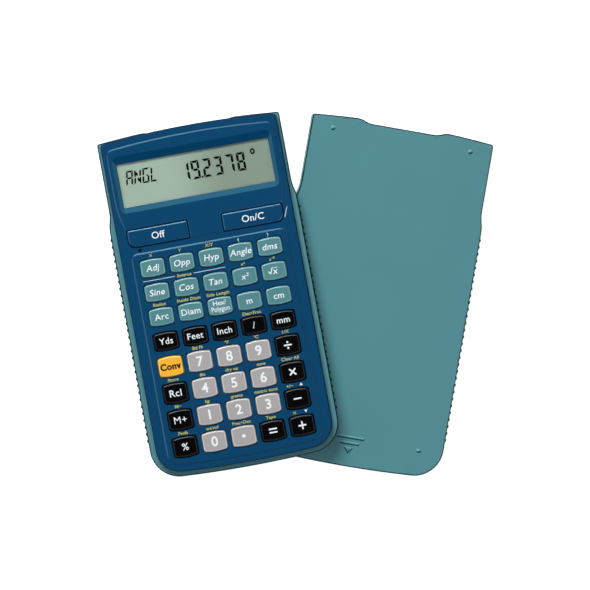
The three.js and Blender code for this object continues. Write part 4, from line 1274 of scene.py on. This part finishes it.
def button_cells():
    """Button cells: a rounded can under a smaller cap."""
    for name in ("button_cell_upper", "button_cell_lower"):
        low, high = measured(name)
        radius = (high.y - low.y) / 2
        profile = [(0, low.z), (radius - CELL_EDGE, low.z)]
        for step in range(1, EDGE_STEPS + 1):
            angle = pi / 2 * step / EDGE_STEPS
            inset, rise = CELL_EDGE * (1 - sin(angle)), CELL_EDGE * (1 - cos(angle))
            profile.append((radius - inset, low.z + rise))
        profile += [(radius - inset, high.z - drop) for inset, drop in CELL_CAP_PROFILE]
        cell = turned([*profile, (0, high.z)], *middle_of(low, high))
        piece(name + "_can", cell, "cell_steel", [name])


# The loose cover


def slide_cover():
    body = loft(body_rings(0, COVER_TOP, False))
    half = FRONT_HALF + COVER_RUNNING_GAP
    open_end = HALF_LENGTH + OVERRUN * 2
    closed_end = -HALF_LENGTH + COVER_END_WALL
    hollow = bowed_plan(half, open_end, 0, CAVITY_TOP_RADIUS, closed_end, BOTTOM_BOW, FRONT_BOTTOM_RADIUS)
    ceiling = COVER_TOP - COVER_PLATE
    body = cut(body, loft([(hollow, -OVERRUN), *edge_rings(hollow, ceiling, BODY_EDGE)]))
    pip = [(PIP_RADIUS * share, COVER_TOP + PIP_HEIGHT * rise) for share, rise in PIP_PROFILE]
    raised = []
    for x in (-PIP_ACROSS, PIP_ACROSS):
        for y in (down(PIP_FROM_TOP), PIP_FROM_BOTTOM - HALF_LENGTH):
            raised.append(turned([(0, MARK_ROOT), *pip], x, y))
    for length, from_bottom in MARK_BARS:
        y = from_bottom - HALF_LENGTH
        low, high = y - MARK_LINE / 2, y + MARK_LINE / 2
        raised.append(ridge(rounded_box(-length / 2, length / 2, low, high, MARK_LINE * MARK_ROUND)))
    top = ARROW_FROM_BOTTOM - HALF_LENGTH
    arrow = [(-ARROW_WIDTH / 2, top), (ARROW_WIDTH / 2, top), (0, top - ARROW_LENGTH)]
    raised.append(ridge(arrow))
    for mark in raised:
        body = added(body, mark)
    piece("cover_shell", body, "teal_plastic", ["slide_cover"], cover_edge, "slide_cover", COVER)


def ridge(outline):
    """Low raised mark on the cover with sloped sides."""
    top = grown(outline, -MARK_SLOPE)
    return loft([(outline, MARK_ROOT), (outline, COVER_TOP), (top, COVER_TOP + MARK_HEIGHT)])


# Printing


def lettering(text, height, bold=BOLD, slant=0.0, stretch=1.0, spacing=1.0):
    """Flat letters as a mesh whose middle line stands at Y = 0, centred on X = 0."""
    curve = bpy.data.curves.new("lettering", "FONT")
    curve.body = text
    curve.size = height / CAP_SHARE
    curve.offset = bold * height
    curve.shear = slant
    curve.space_character = spacing
    curve.resolution_u = 4
    curve.extrude = (PRINT_RISE + PRINT_ROOT) / 2
    thing = new_object("lettering", curve)
    mesh = evaluated(thing)
    bpy.data.objects.remove(thing)
    across = [vertex.co.x for vertex in mesh.vertices]
    middle = (min(across) + max(across)) / 2
    mesh.transform(Matrix.Diagonal((stretch, 1, 1, 1)) @ Matrix.Translation((-middle, -height / 2, 0)))
    return new_object("lettering", mesh)


def flat_mark(outline):
    """Printed shape from its outline."""
    half = (PRINT_RISE + PRINT_ROOT) / 2
    return prism(outline, -half, half)


def print_on(name, things, slot, height, body="calculator_body"):
    """Joins printed shapes, each with the place of its middle, on a surface at a height."""
    for thing, x, y in things:
        thing.data.transform(Matrix.Translation((x, y, height + (PRINT_RISE - PRINT_ROOT) / 2)))
    whole = joined([thing for thing, _, _ in things])
    whole.name = name
    whole.data.name = name
    whole.data.materials.clear()
    whole.data.materials.append(MATERIALS[slot])
    whole.data.transform(CALCULATOR)
    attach(whole, body)


def bar(x0, y0, x1, y1, width):
    """Printed bar with round corners between two points."""
    start = Vector((x0, y0))
    along = Vector((x1, y1)) - start
    turn = atan2(along.y, along.x)
    level, steep = cos(turn), sin(turn)
    outline = rounded_box(0, along.length, -width / 2, width / 2, width * BAR_ROUND, steps=2)
    return flat_mark([(x0 + x * level - y * steep, y0 + x * steep + y * level) for x, y in outline])


def sign_marks(name):
    """The arithmetic signs, drawn about the middle of their key."""
    half = SIGN_LENGTH / 2
    level = (-half, 0, half, 0)
    bars = [level]
    dots = []
    if name == "plus_key":
        bars += [(0, -half, 0, -SIGN_WIDTH / 2), (0, SIGN_WIDTH / 2, 0, half)]
    elif name == "equals_key":
        bars = [(-half, y, half, y) for y in (-EQUALS_APART, EQUALS_APART)]
    elif name == "multiply_key":
        arm = half * CROSS_ARM
        near = SIGN_WIDTH * CROSS_BREAK
        bars = [(-arm, -arm, arm, arm), (-arm, arm, -near, near), (near, -near, arm, -arm)]
    elif name == "divide_key":
        places = (-SIGN_DOT_APART, SIGN_DOT_APART)
        dots = [flat_mark(circle(0, y, SIGN_DOT_RADIUS, SIGN_DOT_STEPS)) for y in places]
    return [bar(*ends, SIGN_WIDTH) for ends in bars] + dots


def key_legend(name, word):
    """Printed shapes of a key's legend, each with the place of its middle."""
    x, y = KEYS[name][:2]
    if name == "point_key":
        return [(flat_mark(circle(0, 0, POINT_KEY_RADIUS, DOT_STEPS)), x, y)]
    if name in GREY_KEYS:
        return [(lettering(name[-1], DIGIT_HEIGHT, FIGURE_BOLD), x, y)]
    if name == "polygon_key":
        return [
            (lettering("Hex/", SMALL_WORD_HEIGHT), x, y + POLYGON_LINES[0]),
            (lettering("Polygon", SMALL_WORD_HEIGHT, stretch=POLYGON_STRETCH), x, y + POLYGON_LINES[1]),
        ]
    if name == "square_key":
        return [(lettering("x²", SYMBOL_HEIGHT, SYMBOL_BOLD, SLANT), x, y)]
    if name == "root_key":
        return [
            (lettering("√", SYMBOL_HEIGHT, ROOT_BOLD), x + ROOT_LEFT, y),
            (lettering("x", ROOT_X_HEIGHT, SYMBOL_BOLD, SLANT), x + ROOT_X_RIGHT, y),
            (bar(*ROOT_BAR), x, y),
        ]
    if not word:
        return [(mark, x, y) for mark in sign_marks(name)]
    height = WORD_HEIGHT * (LARGE_WORD if name in LARGE_WORD_KEYS else 1)
    slant = SLANT if name in SLANTED_KEYS else 0.0
    bold = 0 if name == "memory_key" else DARK_BOLD if name == "convert_key" else BOLD
    return [(lettering(word, height, bold, slant, spacing=WORD_SPACING), x, y)]


def key_printing():
    for name, word, _ in KEY_TABLE:
        slot = "dark_print" if name == "convert_key" else "white_print"
        print_on(name + "_legend", key_legend(name, word), slot, KEYS[name][4], name)
    middle_x = (WIDE_INNER + WIDE_OUTER) / 2
    middle_y = (WIDE_TOP + WIDE_BOTTOM) / 2
    for name, word, side in WIDE_KEYS:
        legend = lettering(word, WIDE_WORD_HEIGHT, spacing=WIDE_WORD_SPACING)
        print_on(name + "_legend", [(legend, side * middle_x, middle_y)], "white_print", WIDE_HIGH.z, name)


def width_of(thing):
    across = [vertex.co.x for vertex in thing.data.vertices]
    return max(across) - min(across)


def second_legend(word, x, y):
    """A small word above a key. A wedge in it points from one word to the next."""
    bold = SECOND_BOLD if len(word) > 1 else 0
    words = [lettering(part, SECOND_HEIGHT, bold, SECOND_SLANT, SECOND_STRETCH) for part in word.split("▸")]
    if len(words) == 1:
        return [(words[0], x, y)]
    first, last = [width_of(part) for part in words]
    gap = SECOND_HEIGHT * WEDGE_GAP
    left = x - (first + last + gap) / 2
    right = x + (first + last + gap) / 2
    wedge = [(gap * across, gap * along) for across, along in WEDGE]
    return [
        (words[0], left + first / 2, y),
        (flat_mark(wedge), left + first + gap / 2, y),
        (words[1], right - last / 2, y),
    ]


def above_key(name):
    """Middle of what is printed above a key."""
    x, y, _, half_height, _ = KEYS[name]
    return x, y + half_height + SECOND_ABOVE_KEY


def face_printing():
    """Yellow second meanings above the keys, the white marks beside them, and a white line on the slash as a
    painted highlight.
    """
    yellow = []
    white = []
    for name, _, word in KEY_TABLE:
        x, above = above_key(name)
        if name in ("minus_key", "plus_key"):
            side = 1 if name == "minus_key" else -1
            half_width = KEYS[name][2]
            arrow = [(across, along * side) for across, along in SIDE_ARROW]
            white.append((flat_mark(arrow), x + half_width * SIDE_ARROW_SHIFT, above))
            x -= half_width * SIDE_WORD_SHIFT
        if word:
            yellow += second_legend(word, x, above)
    x, above = above_key("root_key")
    for word, height, (right, up) in (("x", SECOND_HEIGHT, TIMES_PLACE), ("10", TEN_HEIGHT, TEN_PLACE)):
        yellow.append((lettering(word, height, FINE_BOLD, SLANT), x + right, above + up))
    print_on("second_legends", yellow, "yellow_print", PANEL)
    for name, glyph in (("angle_key", "("), ("degrees_key", ")")):
        white.append((lettering(glyph, SECOND_HEIGHT), *above_key(name)))
    centre, above = above_key("cosine_key")
    left = KEYS["sine_key"][0] - KEYS["sine_key"][2]
    right = KEYS["tangent_key"][0] + KEYS["tangent_key"][2]
    for start, end in ((left, centre - LINE_BREAK), (centre + LINE_BREAK, right)):
        white.append((bar(start, above, end, above, LINE_WIDTH), 0, 0))
    print_on("face_marks", white, "white_print", PANEL)
    # White line along the slash's crest: a painted highlight
    line = bar(SLASH_TOP[0], WIDE_TOP - SLASH_TOP[1], SLASH_FOOT[0], WIDE_TOP - SLASH_FOOT[1], SLASH_HIGHLIGHT_WIDTH)
    print_on("slash_painted_highlight", [(line, 0, 0)], "white_print", FACE + SLASH_RISE)


# Display characters


def sheared(outline, slant, x, y):
    return [(x + px + py * slant, y + py) for px, py in outline]


def stroke_end(point, inward, side, mitre):
    """Corners of one end of a bar: pointed, or mitred towards the side that the sign of mitre gives."""
    if not mitre:
        return [point + inward - side, point, point + inward + side]
    return [point + inward * mitre - side, point - inward * mitre + side]


def stroke(start, end, width, mitres):
    """Slim bar between two points."""
    a = Vector(start)
    b = Vector(end)
    along = (b - a).normalized() * width / 2
    side = Vector((-along.y, along.x))
    points = stroke_end(a, along, side, mitres[0]) + stroke_end(b, -along, -side, -mitres[1])
    return [tuple(point) for point in points]


SEGMENT_MITRES = {"a": (1, 1), "b": (1, 0), "c": (0, 1), "d": (-1, -1), "e": (0, -1), "f": (-1, 0)}


def segment_outline(letter, size, width):
    """A segment's bar. Letters a to g are the seven of a figure; the rest serve letters."""
    x = size[0] / 2 - width / 2
    y = size[1] / 2 - width / 2
    tip = width * SEGMENT_TIP
    ends = {
        "a": ((-x + tip, y), (x - tip, y)),
        "b": ((x, y - tip), (x, tip)),
        "c": ((x, -tip), (x, -y + tip)),
        "d": ((-x + tip, -y), (x - tip, -y)),
        "e": ((-x, -tip), (-x, -y + tip)),
        "f": ((-x, y - tip), (-x, tip)),
        "g": ((-x + tip, 0), (x - tip, 0)),
        "h": ((tip, 0), (x - tip, 0)),
        "i": ((-x + width * DIAGONAL_INSET, y - width), (-tip, width * DIAGONAL_GAP)),
        "j": ((tip, -width * DIAGONAL_GAP), (x - width * DIAGONAL_INSET, -y + width)),
    }
    return stroke(*ends[letter], width, SEGMENT_MITRES.get(letter, (0, 0)))


FIGURES = {"1": "bc", "2": "abged", "3": "abgcd", "7": "abc", "8": "abcdefg", "9": "abcdfg"}
LETTERS = {"A": "abcefg", "N": "bcefij", "G": "acdefh", "L": "def"}


def display_characters():
    marks = []
    for x, figure in zip(DIGIT_PLACES, "192378"):
        for letter in FIGURES[figure]:
            outline = segment_outline(letter, DIGIT_SIZE, DIGIT_STROKE)
            marks.append(sheared(outline, 0.0, x, down(DIGIT_FROM_TOP)))
    for place, letter_name in enumerate("ANGL"):
        x = FIRST_LETTER + LETTER_PITCH * place
        for letter in LETTERS[letter_name]:
            outline = segment_outline(letter, LETTER_SIZE, LETTER_STROKE)
            marks.append(sheared(outline, LETTER_SLANT, x, down(LETTER_FROM_TOP)))
    half = POINT_SIZE / 2
    x, y = POINT_PLACE[0], down(POINT_PLACE[1])
    marks.append(rounded_box(x - half, x + half, y - half, y + half, half * POINT_ROUND))
    glass = LCD_HIGH.z
    things = [prism(outline, glass, glass + SEGMENT_THICKNESS) for outline in marks]
    x, y = DEGREE_PLACE[0], down(DEGREE_PLACE[1])
    oval = [(x + px * DEGREE_SIZE[0], y + py * DEGREE_SIZE[1]) for px, py in circle(0, 0, 1)]
    inside = prism(grown(oval, -DEGREE_STROKE), glass - OVERRUN, glass + OVERRUN)
    degree = cut(prism(oval, glass, glass + SEGMENT_THICKNESS), inside)
    piece("display_characters", joined([*things, degree]), "lcd_segment")


# Nodes that stay as they are, with their materials


def carried_nodes():
    slots = {
        "display_window": "clear_window",
        "lcd_panel": "lcd_glass",
        "lcd_connector": "black_rubber",
        "circuit_board": "board_laminate",
        "keypad_membrane": "membrane_rubber",
        "battery_contact_positive": "contact_steel",
        "battery_contact_negative": "contact_steel",
    }
    for name, slot in slots.items():
        node = frame["nodes"][name]
        node.data.materials.clear()
        node.data.materials.append(MATERIALS[slot])


# Stage


def towards_photo(right, up, height):
    """A point in metres, given along the photograph's right and up from its middle."""
    x = PHOTO_MIDDLE[0] + right * cos(PHOTO_TURN) - up * sin(PHOTO_TURN)
    y = PHOTO_MIDDLE[1] + right * sin(PHOTO_TURN) + up * cos(PHOTO_TURN)
    return Vector((x, y, height)) * MM


def area_light(name, right, up, height, size, power):
    light = bpy.data.lights.new(name, "AREA")
    light.shape = "DISK"
    light.size = size * MM
    light.energy = power
    lamp = new_object(name, light)
    lamp.location = towards_photo(right, up, height)
    target = towards_photo(0, 0, 0)
    lamp.rotation_euler = (target - lamp.location).to_track_quat("-Z", "Y").to_euler()


def pale_floor():
    bpy.ops.mesh.primitive_plane_add(size=FLOOR_SIZE)
    floor = bpy.context.object
    floor.name = "floor"
    material, tree, shader, place = node_material("pale floor")
    feed(tree, shader, {
        "Base Color": blended(tree, noise(tree, place, 6), *FLOOR_TONES),
        "Roughness": FLOOR_ROUGHNESS,
        "Emission Color": (1, 1, 1, 1),
        "Emission Strength": FLOOR_GLOW,
    })
    floor.data.materials.append(material)


def surroundings():
    """Light from all round that is brighter overhead."""
    world = bpy.data.worlds.new("studio")
    bpy.context.scene.world = world
    world.use_nodes = True
    tree = world.node_tree
    height = new_node(tree, "SeparateXYZ", {"Vector": new_node(tree, "TexCoord", {}, "Generated")}, "Z")
    strength = new_node(tree, "MapRange", {
        "Value": height,
        "From Min": WORLD_HEIGHTS[0],
        "From Max": WORLD_HEIGHTS[1],
        "To Min": WORLD_BRIGHTNESS[0],
        "To Max": WORLD_BRIGHTNESS[1],
    })
    feed(tree, tree.nodes["Background"], {"Color": WORLD_COLOUR, "Strength": strength})


def photo_camera():
    """Long lens that looks square onto the calculator's face."""
    camera = bpy.data.cameras.new("camera")
    camera.sensor_width = SENSOR_WIDTH
    camera.lens = SENSOR_WIDTH * CAMERA_DISTANCE / PHOTO_WIDTH
    camera.clip_end = CAMERA_REACH
    holder = new_object("camera", camera)
    back = (CALCULATOR.to_3x3() @ Vector((0, 0, 1))).normalized()
    up = back.cross(Vector((cos(PHOTO_TURN), sin(PHOTO_TURN), 0))).normalized()
    turn = Matrix((up.cross(back), up, back)).transposed().to_4x4()
    place = towards_photo(0, 0, PHOTO_LEVEL) + back * CAMERA_DISTANCE * MM
    holder.matrix_world = Matrix.Translation(place) @ turn
    bpy.context.scene.camera = holder
    bpy.context.scene.view_settings.view_transform = "Standard"


rear_housing()
front_housing()
keys()
battery_door()
screws()
button_cells()
slide_cover()
key_printing()
face_printing()
display_characters()
carried_nodes()
pale_floor()
surroundings()
for lamp_name, lamp_values in LAMPS.items():
    area_light(lamp_name, *lamp_values)
photo_camera()
